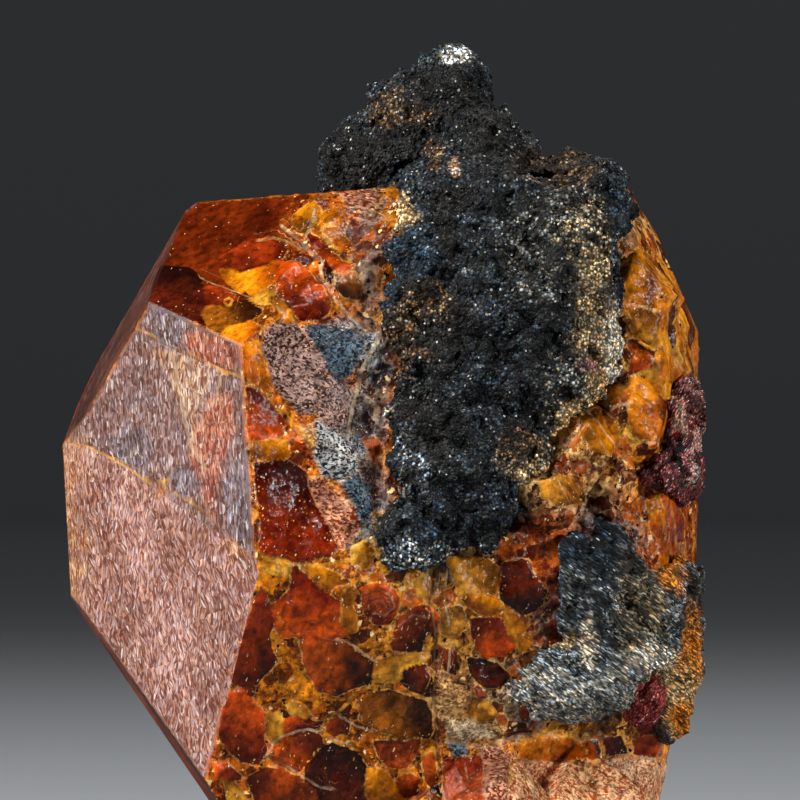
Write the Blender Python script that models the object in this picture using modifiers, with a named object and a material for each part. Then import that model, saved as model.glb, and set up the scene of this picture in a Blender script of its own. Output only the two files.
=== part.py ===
"""A spessartine garnet crystal with the dark granular sulphide matrix and the rose-red rhodonite that grew with it.

Metres, +Z up. The view from the front looks along +Y. The specimen stands on its flat broken underside.
"""

import math
import random

import bmesh
import bpy
from mathutils import Matrix, Vector, geometry, noise

MM = 0.001

# Driving sizes of the garnet crystal, in millimetres
HEART = Vector((0.0, 0.0, 22.0))
BLANK_SIZE = 160.0
CONTACT_GAP = 0.3

# Each face of the crystal: compass angle from the front (positive to the right) and rise above the horizon,
# both in degrees, and the face's distance from the heart in millimetres
CRYSTAL_FACES = {
    "left_upper": (-44.3, 1.0, 15.2),
    "left_lower": (-45.5, -2.5, 15.25),
    "left_bevel": (-72.0, -1.5, 19.0),
    "top_front": (-26.0, 44.2, 18.27),
    "left_sliver": (-82.3, 26.35, 20.25),
    "lower_sliver": (-84.6, -33.9, 19.96),
    "front_upper": (9.8, 5.7, 11.5),
    "front_lower": (6.1, -19.3, 13.2),
    "right_front": (38.0, 6.0, 15.5),
    "right_front_low": (30.0, -14.0, 15.2),
    "right_slope": (78.0, 25.0, 23.1),
    "right_side": (74.0, -2.0, 19.1),
    "right_back_side": (104.0, -2.0, 21.2),
    "right_low": (76.0, -8.0, 20.2),
    "crown": (-126.0, 86.1, 20.87),
    "back_left_top": (-122.0, 42.0, 21.0),
    "back_left_mid": (-118.0, 16.0, 21.7),
    "back_left": (-112.0, -5.0, 20.2),
    "back_left_low": (-130.0, -33.0, 18.6),
    "back": (176.0, 3.0, 15.0),
    "back_top": (168.0, 44.0, 18.2),
    "back_right": (134.0, 6.0, 17.6),
    "back_low": (178.0, -25.0, 16.2),
    "back_right_low": (128.0, -18.0, 19.6),
    "base": (0.0, -90.0, 22.0),
}
FRONT_FACES = ("front_upper", "front_lower", "right_front", "right_front_low", "top_front")

# The broken front: where it starts to the right of the smooth left faces, as height and x, top to bottom
BREAK_EDGE = ((46.0, -1.5), (42.0, -3.5), (37.0, -7.0), (32.8, -9.3), (17.9, -8.0), (5.3, -12.0), (-2.0, -8.0))
BREAK_FADE = 2.2
BREAK_DEPTH = 0.95
BREAK_TILT = 0.2
BREAK_SCOOP = 0.11
BREAK_POINT_SPACING = 1.15
BREAK_SNAP = 0.52
BREAK_FRONT_CLEARANCE = 12.0
BREAK_RIGHT_END = 20.5

# Centres of the large fracture cells on the broken front, as x and z
FRACTURE_CELLS = (
    (-7.4, 18.4), (-7.2, 16.9), (-5.4, 16.9), (-3.8, 17.9), (-5.4, 14.6), (-8.2, 14.6), (-8.7, 12.0),
    (-2.5, 15.9), (-0.2, 15.9), (1.7, 14.6), (2.7, 16.9), (0.1, 13.6), (-2.5, 12.3), (-5.1, 12.3),
    (-7.1, 10.7), (-9.3, 8.8), (-8.7, 10.4), (-5.4, 9.4), (-7.1, 8.1), (-3.2, 8.1), (0.7, 9.1),
    (-1.2, 7.5), (1.4, 6.5), (-5.4, 6.8), (-2.8, 5.2), (-9.3, 6.2), (-9.7, 3.9), (-7.4, 3.9), (0.7, 3.9),
    (1.7, 3.0), (2.7, 5.2), (0.4, 11.7), (1.7, 11.4), (4.3, 14.6), (6.3, 18.2), (8.5, 17.2), (6.9, 14.3),
    (9.2, 14.6), (4.3, 12.3), (6.9, 11.7), (4.3, 9.7), (6.3, 8.1), (4.6, 6.5), (5.0, 3.0), (7.6, 3.6),
    (10.8, 6.5), (11.5, 3.2), (13.7, 6.8), (16.7, 7.1), (16.7, 3.0), (-8.4, 31.9), (-7.9, 28.9),
    (-7.4, 26.0), (-5.4, 22.8), (-3.2, 21.5), (-5.6, 31.6), (-2.8, 32.6), (-6.8, 36.7), (-4.2, 35.4),
    (-2.2, 40.3), (-4.6, 40.3), (-0.9, 36.0), (-1.4, 28.0), (0.6, 24.5), (9.1, 22.5), (12.4, 23.2),
    (13.4, 27.6), (15.0, 29.6), (17.0, 31.0), (16.2, 22.0), (18.2, 20.0), (18.0, 16.5), (12.0, 12.2),
    (3.0, 1.2), (-4.0, 1.6), (8.5, 0.6), (14.5, 1.0),
)

# Small garnets that grew on the right shoulder: centre, reach along their short axis, and turn in degrees
SHOULDER_GARNETS = (
    ((15.9, -6.6, 27.8), 2.5, (20, 10, 35)),
    ((12.6, -8.3, 26.2), 2.4, (65, 15, 10)),
    ((16.5, -5.6, 31.6), 2.3, (10, 40, 70)),
    ((16.3, -4.9, 35.4), 2.7, (35, 5, 20)),
    ((17.3, -2.2, 32.2), 2.6, (50, 30, 5)),
    ((10.6, -9.6, 23.0), 2.1, (5, 25, 50)),
    ((14.6, -7.2, 23.8), 2.0, (40, 40, 15)),
)
# Garnets at the foot of the front, which end just above the flat underside
FOOT_GARNETS = (
    ((13.4, -5.0, 0.8), 4.1, (8, -6, 18)),
    ((7.6, -7.6, 1.6), 3.1, (-10, 12, 40)),
    ((4.6, -7.4, 1.4), 2.7, (14, 4, -12)),
)
FOOT_GARNET_CUT = 0.3
KNOB_SQUASH = (1.0, 0.9, 1.1)

# Lumps of the matrix and of the rhodonite, as centre and half-widths
UPPER_MATRIX_LUMPS = (
    ((4.6, 1.6, 48.3), (3.2, 3.4, 4.3)),
    ((2.7, 2.0, 46.6), (4.0, 4.0, 5.2)),
    ((0.6, 2.6, 43.6), (4.8, 4.4, 4.8)),
    ((6.3, -0.4, 44.2), (4.2, 5.6, 4.0)),
    ((12.4, -3.2, 42.1), (4.2, 6.4, 3.5)),
    ((6.0, -5.6, 41.4), (6.0, 4.8, 4.2)),
    ((11.0, -7.2, 37.8), (5.8, 4.8, 6.2)),
    ((7.6, -8.4, 33.4), (7.8, 4.3, 8.6)),
    ((3.4, -8.9, 34.2), (4.0, 3.1, 8.6)),
    ((4.6, -10.3, 25.4), (4.9, 3.2, 6.8)),
    ((1.9, -11.5, 20.6), (2.5, 2.2, 3.0)),
    ((13.6, -6.6, 35.4), (2.8, 3.6, 7.2)),
    ((8.6, -10.2, 25.4), (3.0, 2.6, 4.0)),
)
LOWER_MATRIX_LUMPS = (
    ((13.2, -7.9, 17.4), (3.8, 3.2, 4.6)),
    ((12.2, -8.5, 11.0), (5.0, 2.5, 2.6)),
    ((16.6, -5.7, 14.6), (3.2, 3.4, 4.6)),
    ((19.1, -1.6, 14.0), (2.1, 5.0, 5.2)),
    ((18.5, -1.4, 9.6), (1.9, 4.4, 2.8)),
)
SEAM_LUMPS = (
    ((19.1, -1.2, 28.0), (2.2, 4.2, 3.8)),
    ((19.2, -0.8, 24.6), (1.9, 3.8, 2.6)),
    ((17.6, -4.6, 24.4), (3.0, 2.3, 1.5)),
)
GRAIN_LUMPS = (
    ((17.1, -6.9, 9.8), (1.4, 1.7, 1.7)),
)
BACK_MATRIX_LUMPS = (
    ((-4.5, 15.2, 14.5), (5.2, 2.2, 4.6)),
    ((0.5, 15.6, 10.8), (4.4, 2.0, 3.4)),
    ((-8.5, 14.2, 17.6), (3.0, 2.4, 3.2)),
)


def face_normal(azimuth, rise):
    """The outward direction of a crystal face from its two angles in degrees."""
    a = math.radians(azimuth)
    e = math.radians(rise)
    return Vector((math.sin(a) * math.cos(e), -math.cos(a) * math.cos(e), math.sin(e)))


def clear_scene():
    for obj in list(bpy.data.objects):
        bpy.data.objects.remove(obj)


def new_collection(name, hidden=False):
    collection = bpy.data.collections.new(name)
    bpy.context.scene.collection.children.link(collection)
    collection.hide_render = hidden
    return collection


def make_material(name, colour, roughness, metallic=0.0):
    material = bpy.data.materials.new(name)
    material.use_nodes = True
    shader = material.node_tree.nodes["Principled BSDF"]
    shader.inputs["Base Color"].default_value = (*colour, 1.0)
    shader.inputs["Roughness"].default_value = roughness
    shader.inputs["Metallic"].default_value = metallic
    return material


def add_object(name, bm, collection, material=None):
    """Links the mesh as an object. Lengths inside bm are millimetres and become metres here."""
    bmesh.ops.scale(bm, vec=(MM, MM, MM), verts=bm.verts)
    mesh = bpy.data.meshes.new(name)
    bm.to_mesh(mesh)
    bm.free()
    obj = bpy.data.objects.new(name, mesh)
    collection.objects.link(obj)
    if material is not None:
        mesh.materials.append(material)
    return obj


def helper_object(name, bm):
    """A cutter or another helper, which is no part of the object."""
    obj = add_object(name, bm, helpers)
    obj.hide_render = True
    obj.display_type = "WIRE"
    return obj


def crystal_blank(grow=0.0):
    """The whole crystal as a block cut by each of its faces, each moved out by grow."""
    bm = bmesh.new()
    bmesh.ops.create_cube(bm, size=BLANK_SIZE)
    for azimuth, rise, distance in CRYSTAL_FACES.values():
        normal = face_normal(azimuth, rise)
        cut = bmesh.ops.bisect_plane(
            bm,
            geom=bm.verts[:] + bm.edges[:] + bm.faces[:],
            plane_co=HEART + normal * (distance + grow),
            plane_no=normal,
            clear_outer=True,
        )
        rim = [part for part in cut["geom_cut"] if isinstance(part, bmesh.types.BMEdge)]
        bmesh.ops.edgenet_fill(bm, edges=rim)
    bmesh.ops.recalc_face_normals(bm, faces=bm.faces)
    return bm


def front_of_crystal(x, z):
    """The y of the unbroken crystal's front at x and z."""
    depths = []
    for name in FRONT_FACES:
        azimuth, rise, distance = CRYSTAL_FACES[name]
        n = face_normal(azimuth, rise)
        depths.append((n.dot(HEART) + distance - n.x * x - n.z * z) / n.y)
    return max(depths)


def break_edge_x(z):
    """Where the smooth left faces end at height z."""
    for (z_high, x_high), (z_low, x_low) in zip(BREAK_EDGE, BREAK_EDGE[1:]):
        if z >= z_low:
            share = (z - z_low) / (z_high - z_low)
            return x_low + (x_high - x_low) * share
    return BREAK_EDGE[-1][1]


def smooth_step(t):
    t = min(1.0, max(0.0, t))
    return t * t * (3.0 - 2.0 * t)


def fracture_chips():
    """Each fracture cell's own hollow: its depth at the centre and its two slopes."""
    pick = random.Random(7)
    return [
        (
            BREAK_DEPTH * pick.uniform(0.1, 1.0),
            BREAK_TILT * pick.uniform(-1.0, 1.0),
            BREAK_TILT * pick.uniform(-1.0, 1.0),
        )
        for _ in FRACTURE_CELLS
    ]


def broken_depth(x, z, chips):
    """How far the break lies behind the unbroken face: shallow scoops that meet in ridges."""
    scoops = []
    for (cell_x, cell_z), (depth, slope_x, slope_z) in zip(FRACTURE_CELLS, chips):
        u = x - cell_x
        w = z - cell_z
        scoops.append(depth + slope_x * u + slope_z * w - BREAK_SCOOP * (u * u + w * w))
    fade = smooth_step((x - break_edge_x(z)) / BREAK_FADE) * smooth_step((BREAK_RIGHT_END - x) / BREAK_FADE)
    return max(0.03, max(scoops)) * fade


def onto_nearest_ridge(point):
    """Moves a point that lies close to the line between two fracture cells onto that line."""
    near = sorted(FRACTURE_CELLS, key=lambda c: (c[0] - point.x) ** 2 + (c[1] - point.y) ** 2)[:2]
    first, second = Vector(near[0]), Vector(near[1])
    across = second - first
    way = ((point - second).length_squared - (point - first).length_squared) / (2.0 * across.length)
    if way < BREAK_SNAP:
        return point + across.normalized() * way
    return point


def front_break_cutter():
    """A block in front of the crystal whose back is the fractured surface."""
    chips = fracture_chips()
    pick = random.Random(3)
    x_low, x_high, z_low, z_high = -16.0, 24.0, -4.0, 48.0
    columns = round((x_high - x_low) / BREAK_POINT_SPACING)
    rows = round((z_high - z_low) / BREAK_POINT_SPACING)
    points = []
    for i in range(columns + 1):
        for k in range(rows + 1):
            spot = Vector((x_low + i * BREAK_POINT_SPACING, z_low + k * BREAK_POINT_SPACING))
            if 0 < i < columns and 0 < k < rows:
                spot.x += BREAK_POINT_SPACING * pick.uniform(-0.2, 0.2)
                spot.y += BREAK_POINT_SPACING * (pick.uniform(-0.2, 0.2) + 0.25 * (-1) ** i)
                spot = onto_nearest_ridge(spot)
            points.append(spot)
    flat, _, triangles, *_ = geometry.delaunay_2d_cdt(points, [], [], 0, 0.12)
    bm = bmesh.new()
    behind = []
    for p in flat:
        cut = broken_depth(p.x, p.y, chips)
        outside = -0.5 if cut < 0.02 else 0.0
        behind.append(bm.verts.new((p.x, front_of_crystal(p.x, p.y) + cut + outside, p.y)))
    for corners in triangles:
        bm.faces.new([behind[i] for i in corners])
    rim = [e for e in bm.edges if e.is_boundary]
    pulled = bmesh.ops.extrude_edge_only(bm, edges=rim)["geom"]
    front = front_of_crystal(0.0, HEART.z) - BREAK_FRONT_CLEARANCE
    for part in pulled:
        if isinstance(part, bmesh.types.BMVert):
            part.co.y = front
    lid = [e for e in bm.edges if e.is_boundary]
    bmesh.ops.edgenet_fill(bm, edges=lid)
    bmesh.ops.recalc_face_normals(bm, faces=bm.faces)
    return helper_object("front_break_cutter", bm)


def dodecahedron(centre, reach, turn, grow=0.0, floor=None):
    """A small garnet of twelve rhombic faces. Its faces lie reach plus grow from its centre."""
    bm = bmesh.new()
    size = (reach + grow) / math.sqrt(2.0)
    for corner in range(8):
        signs = [1 if corner >> axis & 1 else -1 for axis in range(3)]
        bm.verts.new(Vector(signs) * size)
    for axis in range(3):
        for sign in (-2, 2):
            tip = Vector((0.0, 0.0, 0.0))
            tip[axis] = sign * size
            bm.verts.new(tip)
    bmesh.ops.convex_hull(bm, input=bm.verts)
    bmesh.ops.dissolve_limit(bm, angle_limit=0.01, verts=bm.verts, edges=bm.edges)
    squash = Matrix.Diagonal((*KNOB_SQUASH, 1.0))
    for axis, angle in zip("XYZ", turn):
        squash = squash @ Matrix.Rotation(math.radians(angle), 4, axis)
    bmesh.ops.transform(bm, matrix=Matrix.Translation(centre) @ squash, verts=bm.verts)
    if floor is not None:
        cut = bmesh.ops.bisect_plane(
            bm,
            geom=bm.verts[:] + bm.edges[:] + bm.faces[:],
            plane_co=(0.0, 0.0, floor),
            plane_no=(0.0, 0.0, -1.0),
            clear_outer=True,
        )
        bmesh.ops.edgenet_fill(bm, edges=[e for e in cut["geom_cut"] if isinstance(e, bmesh.types.BMEdge)])
    bmesh.ops.recalc_face_normals(bm, faces=bm.faces)
    return bm


def small_garnets(prefix, grow=0.0):
    """All the small garnets of the shoulder and the foot, as helper objects."""
    found = []
    for number, (centre, reach, turn) in enumerate(SHOULDER_GARNETS, start=1):
        found.append(helper_object(f"{prefix}_shoulder_garnet_{number}", dodecahedron(centre, reach, turn, grow)))
    floor = FOOT_GARNET_CUT - grow
    for number, (centre, reach, turn) in enumerate(FOOT_GARNETS, start=1):
        found.append(helper_object(f"{prefix}_foot_garnet_{number}", dodecahedron(centre, reach, turn, grow, floor)))
    return found


def cut_with(obj, other, operation):
    modifier = obj.modifiers.new(f"{operation.lower()}_{other.name}", "BOOLEAN")
    modifier.operation = operation
    modifier.object = other
    modifier.solver = "EXACT"


def largest_piece(bm):
    """Removes crumbs that a cut leaves, so that the solid is one body."""
    left = set(bm.faces)
    islands = []
    while left:
        seed = left.pop()
        island = {seed}
        queue = [seed]
        while queue:
            for edge in queue.pop().edges:
                for face in edge.link_faces:
                    if face in left:
                        left.remove(face)
                        island.add(face)
                        queue.append(face)
        islands.append(island)
    islands.sort(key=lambda found: -sum(face.calc_area() for face in found))
    crumbs = [face for island in islands[1:] for face in island]
    if crumbs:
        bmesh.ops.delete(bm, geom=crumbs, context="FACES")


def bake_modifiers(obj):
    """Turns the modifiers' result into the object's own mesh, kept to its largest body."""
    graph = bpy.context.evaluated_depsgraph_get()
    result = bpy.data.meshes.new_from_object(obj.evaluated_get(graph))
    obj.modifiers.clear()
    bm = bmesh.new()
    bm.from_mesh(result)
    bmesh.ops.remove_doubles(bm, verts=bm.verts, dist=1e-7)
    largest_piece(bm)
    bmesh.ops.triangulate(bm, faces=bm.faces)
    bm.to_mesh(result)
    bm.free()
    obj.data = result


def lumps_mesh(lumps, grow=0.0):
    """Overlapping rounded lumps, still separate shells."""
    bm = bmesh.new()
    for centre, half_widths in lumps:
        shape = Matrix.Diagonal((*[w + grow for w in half_widths], 1.0))
        bmesh.ops.create_icosphere(bm, subdivisions=3, radius=1.0, matrix=Matrix.Translation(centre) @ shape)
    return bm


def roughen(obj, coarse, fine):
    """Moves the surface in and out by broken ground at two scales. coarse and fine are heights in millimetres."""
    mesh = obj.data
    bm = bmesh.new()
    bm.from_mesh(mesh)
    bm.normal_update()
    for v in bm.verts:
        place = v.co / MM
        broad = noise.noise(place * 0.33 + Vector((5.1, 2.2, 9.7)))
        ledges = noise.cell(place * 0.62 + Vector((broad, -broad, broad)) * 0.8)
        grit = noise.noise(place * 0.95 + Vector((1.7, 8.4, 3.3)))
        v.co += v.normal * MM * (coarse * (broad + 0.45 * ledges - 0.2) + fine * grit)
    bm.to_mesh(mesh)
    bm.free()


def rock_piece(name, lumps, voxel, faces, coarse, fine, collection, material):
    """Lumps fused into one rough body with about this many triangles."""
    obj = add_object(name, lumps_mesh(lumps), collection, material)
    fuse = obj.modifiers.new("fuse", "REMESH")
    fuse.mode = "VOXEL"
    fuse.voxel_size = voxel * MM
    bake_modifiers(obj)
    roughen(obj, coarse, fine)
    thin = obj.modifiers.new("thin", "DECIMATE")
    thin.ratio = min(1.0, faces / len(obj.data.polygons))
    bake_modifiers(obj)
    if not obj.data.materials:
        obj.data.materials.append(material)
    return obj


def build_garnet(collection, material):
    crystal = add_object("garnet_crystal", crystal_blank(), collection, material)
    cut_with(crystal, front_break_cutter(), "DIFFERENCE")
    for small in small_garnets("joined"):
        cut_with(crystal, small, "UNION")
    bake_modifiers(crystal)
    return crystal


def seat_on_crystal(rock, others=()):
    """Cuts the rock to sit on the crystal with a small gap, and clear of its other neighbours."""
    cut_with(rock, grown_crystal, "DIFFERENCE")
    for small in grown_garnets:
        cut_with(rock, small, "DIFFERENCE")
    for other in others:
        cut_with(rock, other, "DIFFERENCE")
    bake_modifiers(rock)


def stand_on_origin(objects):
    """Sets the origin at the middle of the specimen's footprint box, with the underside at zero height."""
    corners = [v.co for obj in objects for v in obj.data.vertices]
    low = [min(c[i] for c in corners) for i in range(3)]
    high = [max(c[i] for c in corners) for i in range(3)]
    shift = Vector((-(low[0] + high[0]) / 2, -(low[1] + high[1]) / 2, -low[2]))
    for obj in objects:
        obj.data.transform(Matrix.Translation(shift))


clear_scene()
specimen = new_collection("garnet_specimen")
helpers = new_collection("cutters", hidden=True)

garnet_red = make_material("garnet", (0.36, 0.075, 0.018), 0.28)
dark_sulphide = make_material("dark_matrix", (0.045, 0.055, 0.07), 0.45, 0.6)
rhodonite_rose = make_material("rhodonite", (0.30, 0.06, 0.075), 0.5)

garnet = build_garnet(specimen, garnet_red)
grown_crystal = helper_object("grown_crystal", crystal_blank(CONTACT_GAP))
grown_garnets = small_garnets("grown", CONTACT_GAP)

seam = rock_piece("rhodonite_seam", SEAM_LUMPS, 0.5, 560, 0.45, 0.25, specimen, rhodonite_rose)
seat_on_crystal(seam)
grain = rock_piece("rhodonite_grain", GRAIN_LUMPS, 0.35, 240, 0.25, 0.15, specimen, rhodonite_rose)
seat_on_crystal(grain)

grown_seam = helper_object("grown_seam", lumps_mesh(SEAM_LUMPS[:1], 0.9))
grown_seam_foot = helper_object("grown_seam_foot", lumps_mesh(SEAM_LUMPS[1:2], 0.9))
grown_seam_tongue = helper_object("grown_seam_tongue", lumps_mesh(SEAM_LUMPS[2:], 0.9))
grown_grain = helper_object("grown_grain", lumps_mesh(GRAIN_LUMPS, 0.6))
neighbours = (grown_seam, grown_seam_foot, grown_seam_tongue, grown_grain)

upper = rock_piece("dark_matrix_upper", UPPER_MATRIX_LUMPS, 0.7, 2400, 0.75, 0.4, specimen, dark_sulphide)
seat_on_crystal(upper, neighbours[:3])
lower = rock_piece("dark_matrix_lower", LOWER_MATRIX_LUMPS, 0.55, 1300, 0.6, 0.35, specimen, dark_sulphide)
seat_on_crystal(lower, neighbours)
rear = rock_piece("dark_matrix_back", BACK_MATRIX_LUMPS, 0.6, 700, 0.6, 0.35, specimen, dark_sulphide)
seat_on_crystal(rear)

pieces = (garnet, upper, lower, rear, seam, grain)
stand_on_origin(pieces)
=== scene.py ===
"""The dressed garnet specimen: the orange-red crystal, its dark sulphide matrix and the rose-red rhodonite.

Positions on the front are given as (across, down) in steps of 0.065 mm in the photograph's frame of 800 by 800.
"""
import math

import bmesh
import bpy
import numpy as np
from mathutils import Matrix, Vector


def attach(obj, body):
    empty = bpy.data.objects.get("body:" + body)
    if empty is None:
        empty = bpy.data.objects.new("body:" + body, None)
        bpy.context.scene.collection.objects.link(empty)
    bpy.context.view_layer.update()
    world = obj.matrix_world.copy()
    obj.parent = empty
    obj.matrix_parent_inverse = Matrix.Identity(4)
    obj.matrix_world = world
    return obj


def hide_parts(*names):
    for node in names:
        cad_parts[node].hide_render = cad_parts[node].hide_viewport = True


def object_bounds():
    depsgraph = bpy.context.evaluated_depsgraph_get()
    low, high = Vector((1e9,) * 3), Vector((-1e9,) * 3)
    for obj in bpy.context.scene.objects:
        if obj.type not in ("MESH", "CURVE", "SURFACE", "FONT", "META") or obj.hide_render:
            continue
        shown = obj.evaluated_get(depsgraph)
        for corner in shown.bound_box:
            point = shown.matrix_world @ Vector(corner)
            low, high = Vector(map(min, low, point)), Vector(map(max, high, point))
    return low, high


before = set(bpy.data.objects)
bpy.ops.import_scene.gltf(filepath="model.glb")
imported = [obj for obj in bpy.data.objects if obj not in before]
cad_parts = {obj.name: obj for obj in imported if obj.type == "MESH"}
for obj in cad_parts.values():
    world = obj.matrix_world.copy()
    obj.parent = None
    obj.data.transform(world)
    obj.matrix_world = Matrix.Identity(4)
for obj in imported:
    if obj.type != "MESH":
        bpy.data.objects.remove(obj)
cad_low, cad_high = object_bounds()

MM = 0.001
FAR_AWAY = 1e9

# The photograph's frame: its size and, in its own steps, where the specimen's left end and underside lie
STEP = 0.065
FRAME_SIZE = 800.0
LEFT_END = 57.0
UNDERSIDE = 850.0

# Camera and stage, in metres
CAMERA_AWAY = 0.8
FRONT_FACE = 0.012
SENSOR_MM = 36.0
FLOOR_RADIUS = 2.2
BEND_RADIUS = 0.8
BEND_STEPS = 8
WALL_TOP = 3.0

# Relief of the broken front, in millimetres
CELL_DOME = 0.08
CHIP_SIZE = 0.8
CREST_HOLLOW = 1.6
DOME_CLEARANCE = 1.1

# Where the two large left faces meet
LEFT_EDGE_LINE = ((60, 443), (85, 446), (128, 470), (150, 487), (206, 525), (260, 560))

# Shader values that are used in several places: the way the left face looks, and tints of the rock's grains
LEFT_FACE_WAY = (-0.68, -0.73, 0.0)
STONE_SCALE = 820.0
BLUISH_GRAIN = (0.84, 1.0, 1.14)
BROWNISH_GRAIN = (1.2, 1.0, 0.72)


# Numbers that vary over space, the same on every run

def cell_number(cells, seed):
    """A random number from 0 to 1 for each whole-number cell."""
    n = cells[..., 0] * 374761393 + cells[..., 1] * 668265263 + cells[..., 2] * 1440662683 + seed * 69069
    n = n & 0xFFFFFFFF
    n = ((n ^ (n >> 13)) * 1274126177) & 0xFFFFFFFF
    n = ((n ^ (n >> 16)) * 2246822519) & 0xFFFFFFFF
    return ((n ^ (n >> 15)) & 0xFFFFFF) / float(0x1000000)


def ground(places, size, seed=0, octaves=1):
    """Smooth rolling noise from -1 to 1 with hills about this size apart."""
    total = np.zeros(len(places))
    weight = 0.0
    for octave in range(octaves):
        p = places / size * 2.0 ** octave + 17.3 * octave
        base = np.floor(p).astype(np.int64)
        t = p - base
        t = t * t * (3.0 - 2.0 * t)
        value = np.zeros(len(places))
        for corner in range(8):
            bits = np.array([corner >> axis & 1 for axis in range(3)])
            share = np.prod(np.where(bits, t, 1.0 - t), axis=1)
            value += share * cell_number(base + bits, seed + octave)
        total += (value * 2.0 - 1.0) * 0.5 ** octave
        weight += 0.5 ** octave
    return total / weight


def cells_of(places, size, seed=0):
    """The nearest scattered point: distance to it and to the next one, the way to it, and its own number."""
    p = places / size
    base = np.floor(p).astype(np.int64)
    near = np.full(len(places), 9.0)
    second = near.copy()
    way = np.zeros_like(p)
    number = np.zeros(len(places))
    for offset_of_cell in np.ndindex(3, 3, 3):
        cell = base + np.array(offset_of_cell) - 1
        jitter = np.stack([cell_number(cell, seed + k) for k in (11, 23, 37)], axis=1)
        offset = cell + jitter - p
        distance = np.linalg.norm(offset, axis=1)
        closer = distance < near
        second = np.where(closer, near, np.minimum(second, distance))
        number = np.where(closer, cell_number(cell, seed + 51), number)
        way = np.where(closer[:, None], offset, way)
        near = np.where(closer, distance, near)
    return near * size, second * size, way * size, number


def smooth(low, high, value):
    t = np.clip((value - low) / (high - low), 0.0, 1.0)
    return t * t * (3.0 - 2.0 * t)


def across_down(co):
    """The (across, down) place of points in millimetres of the specimen."""
    return np.stack([(co[:, 0] - cad_low.x / MM) / STEP + LEFT_END, UNDERSIDE - co[:, 2] / STEP], axis=1)


# Mesh helpers

def read_vertices(mesh, what):
    values = np.empty(len(mesh.vertices) * 3)
    mesh.vertices.foreach_get(what, values)
    return values.reshape(-1, 3)


def vertices_of(mesh):
    return read_vertices(mesh, "co")


def normals_of(mesh):
    return read_vertices(mesh, "normal")


def set_vertices(mesh, co):
    mesh.vertices.foreach_set("co", co.ravel())
    mesh.update()


def copy_of(node):
    """A merged copy of a node of the model, ready for finer work."""
    bm = bmesh.new()
    bm.from_mesh(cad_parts[node].data)
    bmesh.ops.remove_doubles(bm, verts=bm.verts, dist=1e-7)
    return bm


def new_object(name, data):
    added = bpy.data.objects.new(name, data)
    bpy.context.scene.collection.objects.link(added)
    return added


def new_piece(name, bm):
    mesh = bpy.data.meshes.new(name)
    bm.to_mesh(mesh)
    bm.free()
    return new_object(name, mesh)


def bake_modifiers(piece):
    """Gives a piece the mesh that its modifiers make, and takes the modifiers off."""
    graph = bpy.context.evaluated_depsgraph_get()
    mesh = bpy.data.meshes.new_from_object(piece.evaluated_get(graph))
    piece.modifiers.clear()
    piece.data = mesh
    return mesh


def keep_in_box(co):
    """Holds points in metres inside the model's box."""
    return np.clip(co, np.array(cad_low), np.array(cad_high))


def add_number(mesh, name, values):
    layer = mesh.attributes.new(name, "FLOAT", "POINT")
    layer.data.foreach_set("value", values.astype(np.float32))


def add_colour(mesh, name, colours):
    layer = mesh.attributes.new(name, "FLOAT_COLOR", "POINT")
    rgba = np.concatenate([colours, np.ones((len(colours), 1))], axis=1)
    layer.data.foreach_set("color", rgba.astype(np.float32).ravel())


def linear(*rgb):
    """A colour as seen, 0 to 255, as the light it reflects."""
    c = np.array(rgb) / 255.0
    return np.where(c <= 0.04045, c / 12.92, ((c + 0.055) / 1.055) ** 2.4)


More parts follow.
